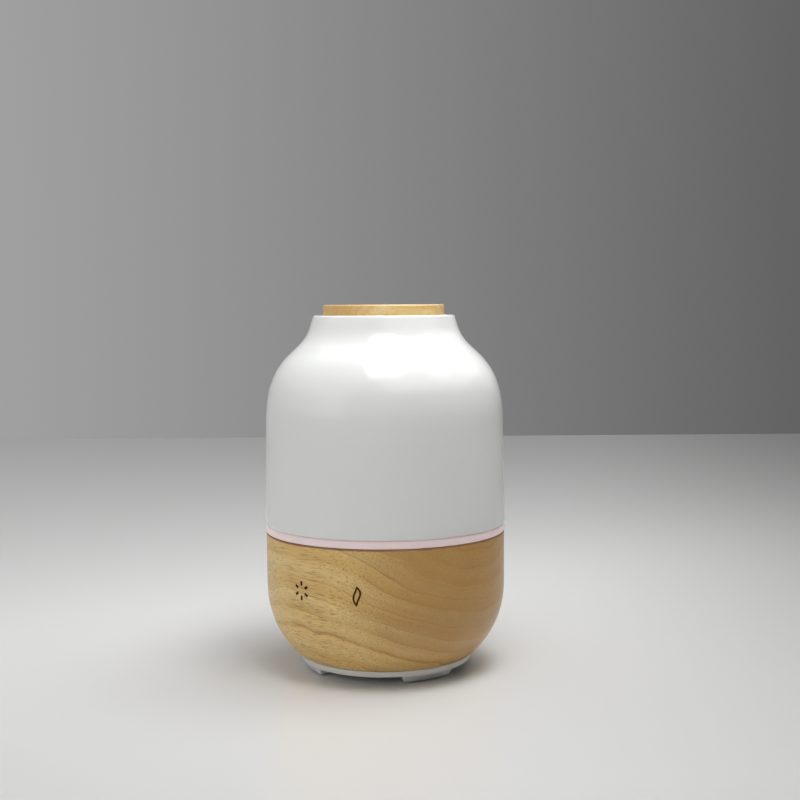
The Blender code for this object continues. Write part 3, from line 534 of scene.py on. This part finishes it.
def winding():
    """Enamelled copper wire, wound round and round."""
    s = Shader("copper_winding")
    pitch = 0.5
    height = s.parts(s.place())[2]
    ridge = s.math("ABSOLUTE", s.math("SINE", s.math("MULTIPLY", height, 2 * pi / pitch)))
    s.set(Base_Color=s.mix(ridge, (0.35, 0.12, 0.05), (0.78, 0.36, 0.18)), Metallic=0.9, Roughness=0.3)
    s.set(Normal=s.bump(ridge, 0.1))
    return s.material


def lamp():
    """The lens of a lamp on the ring-shaped board."""
    s = Shader("lamp_lens")
    cloud = s.noise(s.place(), 0.8, 1.0)
    s.set(Base_Color=s.mix(cloud, (0.86, 0.82, 0.55), (0.93, 0.90, 0.70)), Roughness=0.2)
    s.set(Emission_Color=(1.0, 0.55, 0.6), Emission_Strength=0.3)
    return s.material


BASE_WOOD = wood(
    "base_wood",
    light=(0.85, 0.625, 0.26),
    mid=(0.80, 0.54, 0.19),
    dark=(0.38, 0.175, 0.035),
    grain_bearing=73,
    pith=(12, 122),
    ring_width=6.8,
    pore_share=0.42,
)
DISC_WOOD = wood(
    "disc_wood",
    light=(0.95, 0.76, 0.40),
    mid=(0.90, 0.66, 0.29),
    dark=(0.56, 0.30, 0.08),
    grain_bearing=-35,
    pith=(60, 140),
    ring_width=3.0,
    pore_share=0.2,
)
paint_top_edge_shade(BASE_WOOD, WOOD_TOP, 0.6)
paint_upward_face_shade(DISC_WOOD)
GLAZE = glaze()
BURNT = burnt()
FROSTED = frosted()
WHITE_PLASTIC = plastic("white_plastic", (0.78, 0.78, 0.765), 0.38)
TANK_PLASTIC = milky("tank_plastic", (0.88, 0.90, 0.90), 0.55)
LID_PLASTIC = milky("lid_plastic", (0.90, 0.91, 0.91), 0.45)
PAD_RUBBER = plastic("pad_rubber", (0.34, 0.34, 0.335), 0.75, 0.03, 3.0)
SILICONE = plastic("silicone", (0.70, 0.70, 0.69), 0.6)
BLACK_PLASTIC = plastic("black_plastic", (0.025, 0.025, 0.028), 0.42, 0.03)

FINISHES = {
    "white_plastic": WHITE_PLASTIC,
    "clear_plastic": TANK_PLASTIC,
    "black_plastic": BLACK_PLASTIC,
    "pad_rubber": PAD_RUBBER,
    "silicone": SILICONE,
    "steel": metal("plated_steel", (0.60, 0.61, 0.62), 0.3),
    "brass": metal("satin_brass", (0.78, 0.58, 0.28), 0.3),
    "aluminium": metal("extruded_aluminium", (0.74, 0.75, 0.77), 0.36, (6.0, 6.0, 0.3)),
    "green_board": circuit("green_board", (0.012, 0.14, 0.055), (0.03, 0.24, 0.10)),
    "white_board": circuit("white_board", (0.78, 0.78, 0.74), (0.86, 0.86, 0.83)),
    "ferrite": plastic("ferrite", (0.05, 0.05, 0.055), 0.55, 0.05, 3.0),
    "copper": winding(),
    "led_lens": lamp(),
    "red_lead": plastic("red_insulation", (0.52, 0.03, 0.025), 0.45, 0.01),
    "grey_lead": plastic("grey_insulation", (0.30, 0.30, 0.31), 0.45, 0.01),
}


def keep(piece, body, slot, *nodes):
    """A remade piece: it rides on its body and stands for its CAD nodes; its slot argument is not used."""
    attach(piece, body)
    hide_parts(*nodes)
    return piece


# ---------------------------------------------------------------- cover


def cover():
    """Glazed cover: a rounded mouth, a flared neck, a full shoulder and an upright wall on a rounded foot."""
    outer = meridian(
        (BORE + 0.7, RIM_Z),
        90,
        [
            ("line", 2.54),
            ("arc", 1.3, 17.6),
            ("line", 4.6),
            ("arc", 20.0, 46.7),
            ("line", 5.7),
            ("arc", 33.0, 12.7),
            ("arc", 60.0, 1.4),
        ],
        step=2.5,
    )
    inner = [
        (r - COVER_WALL * cos(a), z - COVER_WALL * sin(a))
        for r, z, a in outer[8:]
        if r - COVER_WALL * cos(a) > BORE + 3
    ]
    edge = 0.7
    inside = COVER_RADIUS - COVER_WALL
    outline = [(BORE, RIM_Z - 0.7), *[(r, z) for r, z, _ in outer]]
    outline += [(COVER_RADIUS, COVER_BASE + 5.0), (COVER_RADIUS, COVER_BASE, edge)]
    outline += [(inside, COVER_BASE, edge)]
    outline += [*reversed(inner), (BORE, DISC_LOW.z - 7.7, 0.8)]
    return keep(turned("cover", outline, GLAZE), "cover", "glaze", "cover_shell")


def disc():
    """Wooden disc with eased edges, its hole a close fit round the nozzle."""
    hole = NOZZLE_BORE + NOZZLE_WALL + 0.4
    outline = [
        (DISC_RADIUS, DISC_TOP, 0.75),
        (DISC_RADIUS, DISC_LOW.z, 0.3),
        (hole, DISC_LOW.z, 0.2),
        (hole, DISC_TOP, 0.6),
    ]
    return keep(turned("outlet_disc", outline, DISC_WOOD.material), "cover", "disc_wood", "mist_disc")


def insert():
    """Plastic insert in the neck, with the nozzle that lines the disc's hole."""
    nozzle = NOZZLE_BORE + NOZZLE_WALL
    sleeve = DISC_RADIUS - 1.4
    shelf = DISC_LOW.z - 0.3
    outline = [
        (nozzle, INSERT_HIGH.z, 0.6),
        (nozzle, shelf),
        (sleeve, shelf, 0.3),
        (sleeve, 153.5, 0.3),
        (sleeve - 2, 153.5, 0.3),
        (sleeve - 2, shelf - 1.8, 0.5),
        (nozzle, shelf - 1.8, 0.5),
        (nozzle, INSERT_LOW.z, 0.4),
        (NOZZLE_BORE, INSERT_LOW.z, 0.4),
        (NOZZLE_BORE, INSERT_HIGH.z, 0.6),
    ]
    piece = turned("outlet_insert", outline, WHITE_PLASTIC, MEDIUM)
    return keep(piece, "cover", "white_plastic", "neck_insert")


# ---------------------------------------------------------------- inner lid


def inner_lid():
    """Milky inner lid: a cone over the tank, and the chimney that meets the nozzle."""
    wall = 1.4
    skirt = LID_LOW.z
    seat = TANK_HIGH.z - 2.9
    radius = 40.6
    chimney = 6.9
    outline = [
        (chimney, LID_HIGH.z, 0.5),
        (chimney, 140.0),
        (9.2, 108.0, 20),
        (13.0, 97.0, 12),
        (22.0, 87.5, 20),
        (41.0, seat + wall, 3),
        (LID_HIGH.x, seat + wall, 0.6),
        (LID_HIGH.x, seat, 0.6),
        (radius, seat, 0.4),
        (radius, skirt, 0.5),
        (radius - wall, skirt, 0.5),
        (radius - wall, seat + 0.6, 1.5),
        (21.1, 86.3, 20),
        (11.7, 96.3, 12),
        (7.8, 107.8, 20),
        (chimney - wall, 140.0),
        (chimney - wall, LID_HIGH.z, 0.5),
    ]
    piece = turned("inner_lid", outline, LID_PLASTIC, MEDIUM * 2)
    return keep(piece, "inner_lid", "clear_plastic", "splash_lid")


# ---------------------------------------------------------------- tank


def tank():
    """Milky water tank with its lip and flange, the air tower, the well, the posts and the small bosses."""
    wall = 1.8
    radius = 42.8
    inner = radius - wall
    bottom = 39.5
    floor = bottom + wall
    flange = WOOD_TOP + 3.9
    lip = TANK_HIGH.x
    tower = middle("air_vent_cap")
    well = middle("transducer_disc")
    outline = [
        (0, floor),
        (inner, floor, 6.0),
        (inner, flange + wall, 0.5),
        (lip - 1.5, flange + wall, 0.4),
        (lip - 1.5, TANK_HIGH.z, 0.5),
        (lip, TANK_HIGH.z, 0.5),
        (lip, flange, 0.3),
        (radius, flange, 0.4),
        (radius, bottom, 7.5),
        (0, bottom),
    ]
    piece = turned("tank", outline, TANK_PLASTIC, MEDIUM * 2)
    screws = [middle(f"clamp_screw_{i}") for i in (1, 2, 3)]
    posts = [around(bearing, POST_CIRCLE) for bearing in POST_BEARINGS]
    stakes = [around(bearing, 41.5) for bearing in (60, 180, 300)]
    added = [
        turned("tower", [(0, 60.0), (9.5, 60.0, 0.6), (9.5, 33.5, 0.3), (0, 33.5)], None, MEDIUM, tower),
        cylinder("well", 14.5, 36.3, floor - 0.9, well, MEDIUM),
        *[cylinder("post", 3.0, 10.3, floor - 0.9, place) for place in posts],
        *[cylinder("boss", 2.4, 36.3, floor - 0.9, place) for place in screws],
        *[cylinder("stake_boss", 1.7, 35.7, 45.2, place) for place in stakes],
        *[cylinder("stake", 0.9, 33.2, 36.5, place, 24) for place in stakes],
    ]
    combine(piece, "UNION", added)
    removed = [
        cylinder("tower_bore", 8.0, 30.0, 62.0, tower, MEDIUM),
        cylinder("well_bore", 12.3, 33.0, bottom, well, MEDIUM),
        cylinder("window", 8.2, 38.0, 43.0, well, MEDIUM),
        *[cylinder("pilot", 1.5, 9.0, 24.0, place, 24) for place in posts],
        *[cylinder("clamp_pilot", 1.2, 35.0, 39.3, place, 24) for place in screws],
    ]
    combine(piece, "DIFFERENCE", removed)
    return keep(piece, "base", "clear_plastic", "water_tank")


def vent_cap():
    """Domed cap that plugs into the air tower on crossed legs."""
    x, y = middle("air_vent_cap")
    outline = [(0, 64.4), (5.0, 64.3), (9.0, 63.7), (11.0, 62.6, 0.4), (11.0, 62.0, 0.2), (0, 62.0)]
    piece = turned("vent_cap", outline, TANK_PLASTIC, MEDIUM, (x, y))
    ring = turned("ring", [(7.6, 57.5), (7.6, 55.0), (6.4, 55.0), (6.4, 57.5)], None, MEDIUM, (x, y))
    legs = [
        box("leg_across", (x - 7.3, y - 0.7, 55.5), (x + 7.3, y + 0.7, 62.6)),
        box("leg_along", (x - 0.7, y - 7.3, 55.5), (x + 0.7, y + 7.3, 62.6)),
    ]
    combine(piece, "UNION", [ring, *legs])
    return keep(piece, "base", "clear_plastic", "air_vent_cap")


# ---------------------------------------------------------------- ring and wood


def light_ring():
    """Frosted ring: a barely tapered face with eased edges, and the spigot inside the wood."""
    low, high = WOOD_TOP + 0.3, RING_HIGH.z
    outline = [
        (RING_HIGH.x - 0.15, high, 0.25),
        (RING_HIGH.x, high - 0.8, 0.8),
        (RING_HIGH.x - 0.15, low, 0.4),
        (48.7, low),
        (48.7, RING_LOW.z, 0.4),
        (47.0, RING_LOW.z, 0.4),
        (47.0, low, 0.5),
        (44.5, low + 0.8, 0.4),
        (44.5, high, 0.4),
    ]
    return keep(turned("glow_ring", outline, FROSTED), "base", "frosted_plastic", "light_ring")


def bezier(a, b, c, d, count):
    """Points on a cubic curve, without its last one."""
    points = []
    for i in range(count):
        t = i / count
        u = 1 - t
        weights = (u**3, 3 * u * u * t, 3 * u * t * t, t**3)
        points.append(tuple(sum(w * p[k] for w, p in zip(weights, (a, b, c, d))) for k in (0, 1)))
    return points


def on_wood(x, z, bearing):
    """A touch mark's own (right, up) point, laid on the wood and sunk a little."""
    place = around(bearing + degrees(x / WOOD_RADIUS), WOOD_RADIUS - MARK_SINK)
    return Vector((*place, TOUCH_Z + z))


def groove(name, points, bearing, radius, closed=False):
    """A round-bottomed cut along a line of a touch mark."""
    curve = bpy.data.curves.new(name, "CURVE")
    curve.dimensions = "3D"
    curve.bevel_depth = radius * MM
    curve.bevel_resolution = 3
    curve.use_fill_caps = True
    spline = curve.splines.new("POLY")
    spline.points.add(len(points) - 1)
    spline.use_cyclic_u = closed
    for point, (x, z) in zip(spline.points, points):
        point.co = (*(on_wood(x, z, bearing) * MM), 1)
    guide = bpy.data.objects.new(name, curve)
    HELPERS.objects.link(guide)
    graph = bpy.context.evaluated_depsgraph_get()
    bm = bmesh.new()
    bm.from_mesh(bpy.data.meshes.new_from_object(guide.evaluated_get(graph)))
    bpy.data.objects.remove(guide)
    bmesh.ops.remove_doubles(bm, verts=bm.verts, dist=1e-6)
    bmesh.ops.recalc_face_normals(bm, faces=bm.faces)
    bmesh.ops.scale(bm, vec=(1 / MM, 1 / MM, 1 / MM), verts=bm.verts)
    cutter = finish_mesh(bm, name)
    cutter.data.materials.append(BURNT)
    return cutter


def touch_marks():
    """Cutters for the two burnt marks: a lamp's six rays at the left, and a leaf at the right."""
    cutters = []
    for i in range(6):
        angle = radians(90 + 60 * i)
        ray = [(r * cos(angle), r * sin(angle)) for r in (2.2, 2.7, 3.2, 3.7, 4.2)]
        cutters.append(groove(f"ray_{i}", ray, -TOUCH_BEARING, 0.62))
    top, right, bottom, left = (0.15, 4.0), (1.65, 1.3), (-0.1, -4.1), (-1.4, -0.6)
    leaf = bezier(top, (0.5, 3.2), (1.75, 2.8), right, 9)
    leaf += bezier(right, (1.55, -0.4), (0.2, -1.9), bottom, 11)
    leaf += bezier(bottom, (-0.5, -3.2), (-1.5, -2.4), left, 9)
    leaf += bezier(left, (-1.3, 0.7), (-0.3, 1.9), top, 11)
    cutters.append(groove("leaf", leaf, TOUCH_BEARING, 0.44, closed=True))
    return cutters


def wood_base():
    """Turned wooden base with eased edges and the two touch marks burnt into its front."""
    edge = 0.5
    mouth, foot_hole = 49.0, 36.5
    lip = [("line", WOOD_RADIUS - edge - mouth), ("arc", edge, 0)]
    outer = meridian((mouth, WOOD_TOP), 90, lip, step=15)
    rows = 18
    top, bend = WOOD_TOP - edge, 44.0
    straight = [(WOOD_RADIUS, top + (bend - top) * i / rows, 0) for i in range(1, rows)]
    bowl = meridian((WOOD_RADIUS, bend), 0, [("arc", 150.0, -3.04), ("arc", 42.0, -48.6)], step=1.2)
    outline = [(r, z) for r, z, _ in [*outer, *straight, *bowl[:-1]]]
    outline += [(40.6, WOOD_BASE, 0.3), (foot_hole, WOOD_BASE, 0.3), (foot_hole, 9.0), (mouth, 28.0)]
    piece = turned("wood_base", outline, BASE_WOOD.material)
    combine(piece, "DIFFERENCE", touch_marks())
    return keep(piece, "base", "base_wood", "wood_shell")


# ---------------------------------------------------------------- bottom plate and feet


def foot_section(half_width, radius, inset):
    """One section of a foot, seen from outside: rounded below, and flared where it meets the plate."""
    flare, corner = 1.0, 1.3
    across = 12
    low, high = FOOT_BOTTOM + inset, RIM_BOTTOM + 0.8
    half = half_width - inset
    right = [(half + flare, high)]
    for i in range(7):
        angle = radians(90 + 90 * i / 6)
        right.append((half + flare + flare * cos(angle), RIM_BOTTOM - flare + flare * sin(angle)))
    for i in range(1, 8):
        angle = radians(-90 * i / 7)
        right.append((half - corner + corner * cos(angle), low + corner + corner * sin(angle)))
    steps = [1 - 2 * i / across for i in range(1, across)]
    loop = right + [((half - corner) * step, low) for step in steps]
    loop += [(-u, z) for u, z in reversed(right)] + [(-(half + flare) * step, high) for step in steps]
    return [(u, radius - FOOT_LEAN * (RIM_BOTTOM - min(z, RIM_BOTTOM)), z) for u, z in loop]


def foot(bearing):
    """One foot: sections from its inner edge out to the plate's rim, bent round the plate."""
    outer, inner = 38.75, 27.0
    width = outer * radians(FOOT_HALF_ANGLE)
    rings = [(inner + 1.6, 0.9), (inner + 1.9, 0.35), (inner + 2.6, 0.0)]
    steps = 5
    rings += [(inner + 2.6 + (outer - inner - 3.6) * i / steps, 0.0) for i in range(1, steps + 1)]
    rings += [(outer - 0.4, 0.05), (outer - 0.15, 0.15), (outer - 0.03, 0.35)]
    sections = []
    for radius, inset in rings:
        bent = []
        for u, r, z in foot_section(width, radius, inset):
            bent.append((*around(bearing + degrees(u / outer), r), z))
        sections.append(bent)
    return finish_mesh(loft(sections), "foot")


def sector(name, inner, outer, bearing, half_angle, bottom, top, rounding, finish=None, steps=14):
    """A flat piece of a ring with rounded edges."""
    sections = []
    profile = softened(
        [(outer, top, rounding), (outer, bottom, rounding), (inner, bottom, rounding), (inner, top, rounding)]
    )
    ends = [(0.0, rounding), (rounding * 0.3, rounding * 0.3), (rounding, 0.0)]
    length = radians(half_angle * 2) * (inner + outer) / 2
    places = ends + [(rounding + (length - 2 * rounding) * i / steps, 0.0) for i in range(1, steps)]
    places += [(length - d, s) for d, s in reversed(ends)]
    middle_r, middle_z = (inner + outer) / 2, (bottom + top) / 2
    for along, shrink in places:
        here = bearing - half_angle + 2 * half_angle * along / length
        ring = []
        for r, z in profile:
            r += shrink * (-1 if r > middle_r else 1)
            z += shrink * (-1 if z > middle_z else 1)
            ring.append((*around(here, r), z))
        sections.append(ring)
    return finish_mesh(loft(sections), name, finish)


def bottom_plate():
    """Bottom plate: rim and spigot, four feet, intake slots, screw wells, socket recess and groove."""
    spigot = 35.6
    floor = 6.1
    jack_x, jack_y = middle("dc_jack")
    fan_x, fan_y = middle("fan_frame")
    outline = [
        (0, floor),
        (spigot - 1.6, floor, 0.4),
        (spigot - 1.6, 10.0, 0.3),
        (spigot, 10.0, 0.3),
        (spigot, WOOD_BASE - 0.3),
        (PLATE_RADIUS, WOOD_BASE - 0.3, 0.35),
        (39.15, RIM_BOTTOM, 0.9),
        (FOOT_INNER, RIM_BOTTOM, 0.3),
        (FOOT_INNER, UNDERSIDE),
        (0, UNDERSIDE),
    ]
    piece = turned("base_plate", outline, WHITE_PLASTIC)
    posts = [around(bearing, POST_CIRCLE) for bearing in POST_BEARINGS]
    fan_corners = [(fan_x + sx * 12.0, fan_y + sy * 12.0) for sx in (-1, 1) for sy in (-1, 1)]
    board_posts = [middle(f"board_screw_{i}") for i in (1, 2, 3)]
    fan_seat, board_seat = span("fan_frame")[0].z - 0.3, span("main_board")[0].z - 0.3
    added = [foot(bearing) for bearing in FOOT_BEARINGS]
    added += [cylinder("jack_well", 8.0, 5.0, 14.0, (jack_x, jack_y), MEDIUM)]
    added += [box("groove_roof", (jack_x - 4.4, jack_y + 5, 5.0), (jack_x + 4.4, 34.6, 9.0))]
    added += [cylinder("screw_boss", 3.8, 5.0, 10.0, place) for place in posts]
    added += [cylinder("fan_standoff", 2.4, 5.0, fan_seat, place) for place in fan_corners]
    added += [cylinder("board_standoff", 2.4, 5.0, board_seat, place) for place in board_posts]
    combine(piece, "UNION", added)

    removed = [cylinder("recess", 6.4, 0.0, 12.5, (jack_x, jack_y), MEDIUM)]
    removed += [cylinder("jack_hole", 3.9, 12.0, 15.0, (jack_x, jack_y))]
    removed += [box("cable_groove", (jack_x - 2.8, jack_y, 0.0), (jack_x + 2.8, 43.0, 7.4))]
    for row in (-8, -4, 0, 4, 8):
        half = sqrt(12.5**2 - row**2)
        low, high = (fan_x - half, fan_y + row - 1.0, 3.0), (fan_x + half, fan_y + row + 1.0, 7.5)
        removed.append(box("slot", low, high, 0.95))
    for bearing, place in zip(FOOT_BEARINGS, posts):
        removed.append(sector("pad_pocket", 28.5, 35.7, bearing, 12.5, -0.5, 2.0, 0.3))
        removed.append(cylinder("head_bore", 2.7, 1.5, 6.5, place))
        removed.append(cylinder("screw_hole", 1.5, 6.0, 11.0, place, 24))
    combine(piece, "DIFFERENCE", removed)
    return keep(piece, "base", "white_plastic", "bottom_plate")


def foot_pads():
    """Rubber pads with rounded edges, in the pockets under the feet."""
    top = span("foot_pad_1")[1].z
    for i, bearing in enumerate(FOOT_BEARINGS):
        pad = sector(f"rubber_pad_{i + 1}", 28.8, 35.4, bearing, 11.9, 0.0, top, 0.45, PAD_RUBBER)
        keep(pad, "base", "pad_rubber", f"foot_pad_{i + 1}")


def dress_cad_nodes():
    """Gives every CAD node that still shows the finish of its material slot."""
    for row in frame["record"]["subparts"]:
        node = frame["nodes"][row["node"]]
        finish = FINISHES.get(row["material_slot"])
        if node.hide_render or not finish:
            continue
        node.data.materials.clear()
        node.data.materials.append(finish)


# ---------------------------------------------------------------- studio


CAMERA_BEARING = 27.6
CAMERA_DISTANCE = 613.0
CAMERA_HEIGHT = 167.5
CAMERA_PITCH = 4.15
CAMERA_YAW = 0.67
CAMERA_ROLL = 0.4
CAMERA_LENS = 59.85
TABLE_REACH = 1060.0


def camera():
    """The camera stands a little above the object's shoulder and looks slightly down."""
    data = bpy.data.cameras.new("camera")
    data.lens = CAMERA_LENS
    data.sensor_width = 36.0
    data.clip_start = 0.02
    obj = bpy.data.objects.new("camera", data)
    bpy.context.scene.collection.objects.link(obj)
    x, y = around(CAMERA_BEARING, CAMERA_DISTANCE)
    heading = Matrix.Rotation(radians(CAMERA_BEARING - CAMERA_YAW), 4, "Z")
    tilt = Matrix.Rotation(radians(90 - CAMERA_PITCH), 4, "X")
    roll = Matrix.Rotation(radians(-CAMERA_ROLL), 4, "Z")
    obj.matrix_world = Matrix.Translation(Vector((x, y, CAMERA_HEIGHT)) * MM) @ heading @ tilt @ roll
    bpy.context.scene.camera = obj


def softbox(name, bearing, elevation, size, power, distance=1.7, mirrored_only=False):
    """A rectangular light that faces the object. Its bearing counts from the camera, towards the right."""
    data = bpy.data.lights.new(name, "AREA")
    data.shape = "RECTANGLE"
    data.size, data.size_y = size
    data.energy = power
    obj = bpy.data.objects.new(name, data)
    x, y = around(CAMERA_BEARING + bearing, cos(radians(elevation)))
    toward = Vector((x, y, sin(radians(elevation))))
    obj.location = toward * distance + Vector((0, 0, 0.08))
    obj.rotation_euler = toward.to_track_quat("Z", "Y").to_euler()
    obj.visible_diffuse = not mirrored_only
    bpy.context.scene.collection.objects.link(obj)


def floor():
    """A pale square table top with a satin surface, its far edge level in the camera's view, painted darker
    towards the front right and the right as painted shade where the light falls off.
    """
    bm = bmesh.new()
    bmesh.ops.create_grid(bm, x_segments=1, y_segments=1, size=TABLE_REACH)
    bmesh.ops.rotate(bm, verts=bm.verts, matrix=Matrix.Rotation(radians(CAMERA_BEARING - CAMERA_YAW), 3, "Z"))
    table = finish_mesh(bm, "table")
    HELPERS.objects.unlink(table)
    bpy.context.scene.collection.objects.link(table)
    s = Shader("table_top")
    place = s.place()
    front_right = s.along(place, CAMERA_BEARING + 27)
    right = s.along(place, CAMERA_BEARING + 80)
    grain = s.noise(place, 2.5, 3.0)
    # painted shade: the table darkens from 0.90 towards 0.68 at the front right and towards 0.36 on the
    # right, standing for the light falling off
    table_tone_painted_shade = s.mix(s.fade(front_right, -210.0, 160.0), (0.90, 0.90, 0.895), (0.68, 0.68, 0.675))
    table_tone_painted_shade = s.mix(s.fade(right, 30.0, 380.0, 0.0, 0.6), table_tone_painted_shade, (0.36, 0.36, 0.355))
    table_tone_painted_shade = s.mix(s.fade(grain, 0.3, 0.7, 0.0, 0.03), table_tone_painted_shade, (0.5, 0.5, 0.5))
    s.set(Base_Color=table_tone_painted_shade, Roughness=0.26, IOR=1.45)
    table.data.materials.append(s.material)


def room():
    """The room beyond the table: an even grey, lighter on the camera's left than on its right."""
    world = bpy.data.worlds.new("room")
    world.use_nodes = True
    nodes, links = world.node_tree.nodes, world.node_tree.links
    spot = nodes.new("ShaderNodeTexCoord")
    side = nodes.new("ShaderNodeVectorMath")
    side.operation = "DOT_PRODUCT"
    side.inputs[1].default_value = (*around(CAMERA_BEARING + 90, 1.0), 0)
    shade = nodes.new("ShaderNodeMapRange")
    shade.interpolation_type = "SMOOTHSTEP"
    for key, value in {"From Min": -0.7, "From Max": 0.7, "To Min": 0.44, "To Max": 0.045}.items():
        shade.inputs[key].default_value = value
    links.new(spot.outputs["Generated"], side.inputs[0])
    links.new(side.outputs["Value"], shade.inputs["Value"])
    links.new(shade.outputs["Result"], nodes["Background"].inputs["Color"])
    bpy.context.scene.world = world


def studio():
    """Small lights close above the object, large soft ones round it, and two window-like panels that only the
    glossy surfaces mirror."""
    bpy.context.scene.view_settings.view_transform = "Standard"
    softbox("above_right", 30, 70, (0.2, 0.2), 1.1, 0.5)
    softbox("above_front", 0, 65, (0.2, 0.2), 0.45, 0.45)
    softbox("above_back", 120, 70, (0.45, 0.45), 2.0, 0.8)
    softbox("above_side", 95, 60, (0.2, 0.2), 0.38, 0.42)
    softbox("left_front", -55, 18, (1.0, 0.8), 2.5)
    softbox("left", -90, 20, (0.9, 0.9), 1.3)
    softbox("back_left", -135, 60, (0.9, 0.9), 1.6)
    softbox("back_right", 135, 24, (0.9, 0.9), 1.0)
    softbox("window", 38, 55, (2.0, 1.5), 13, mirrored_only=True)
    softbox("side_window", 105, 45, (1.6, 1.2), 10, mirrored_only=True)


cover()
disc()
insert()
inner_lid()
tank()
vent_cap()
light_ring()
wood_base()
bottom_plate()
foot_pads()
dress_cad_nodes()
floor()
room()
studio()
camera()
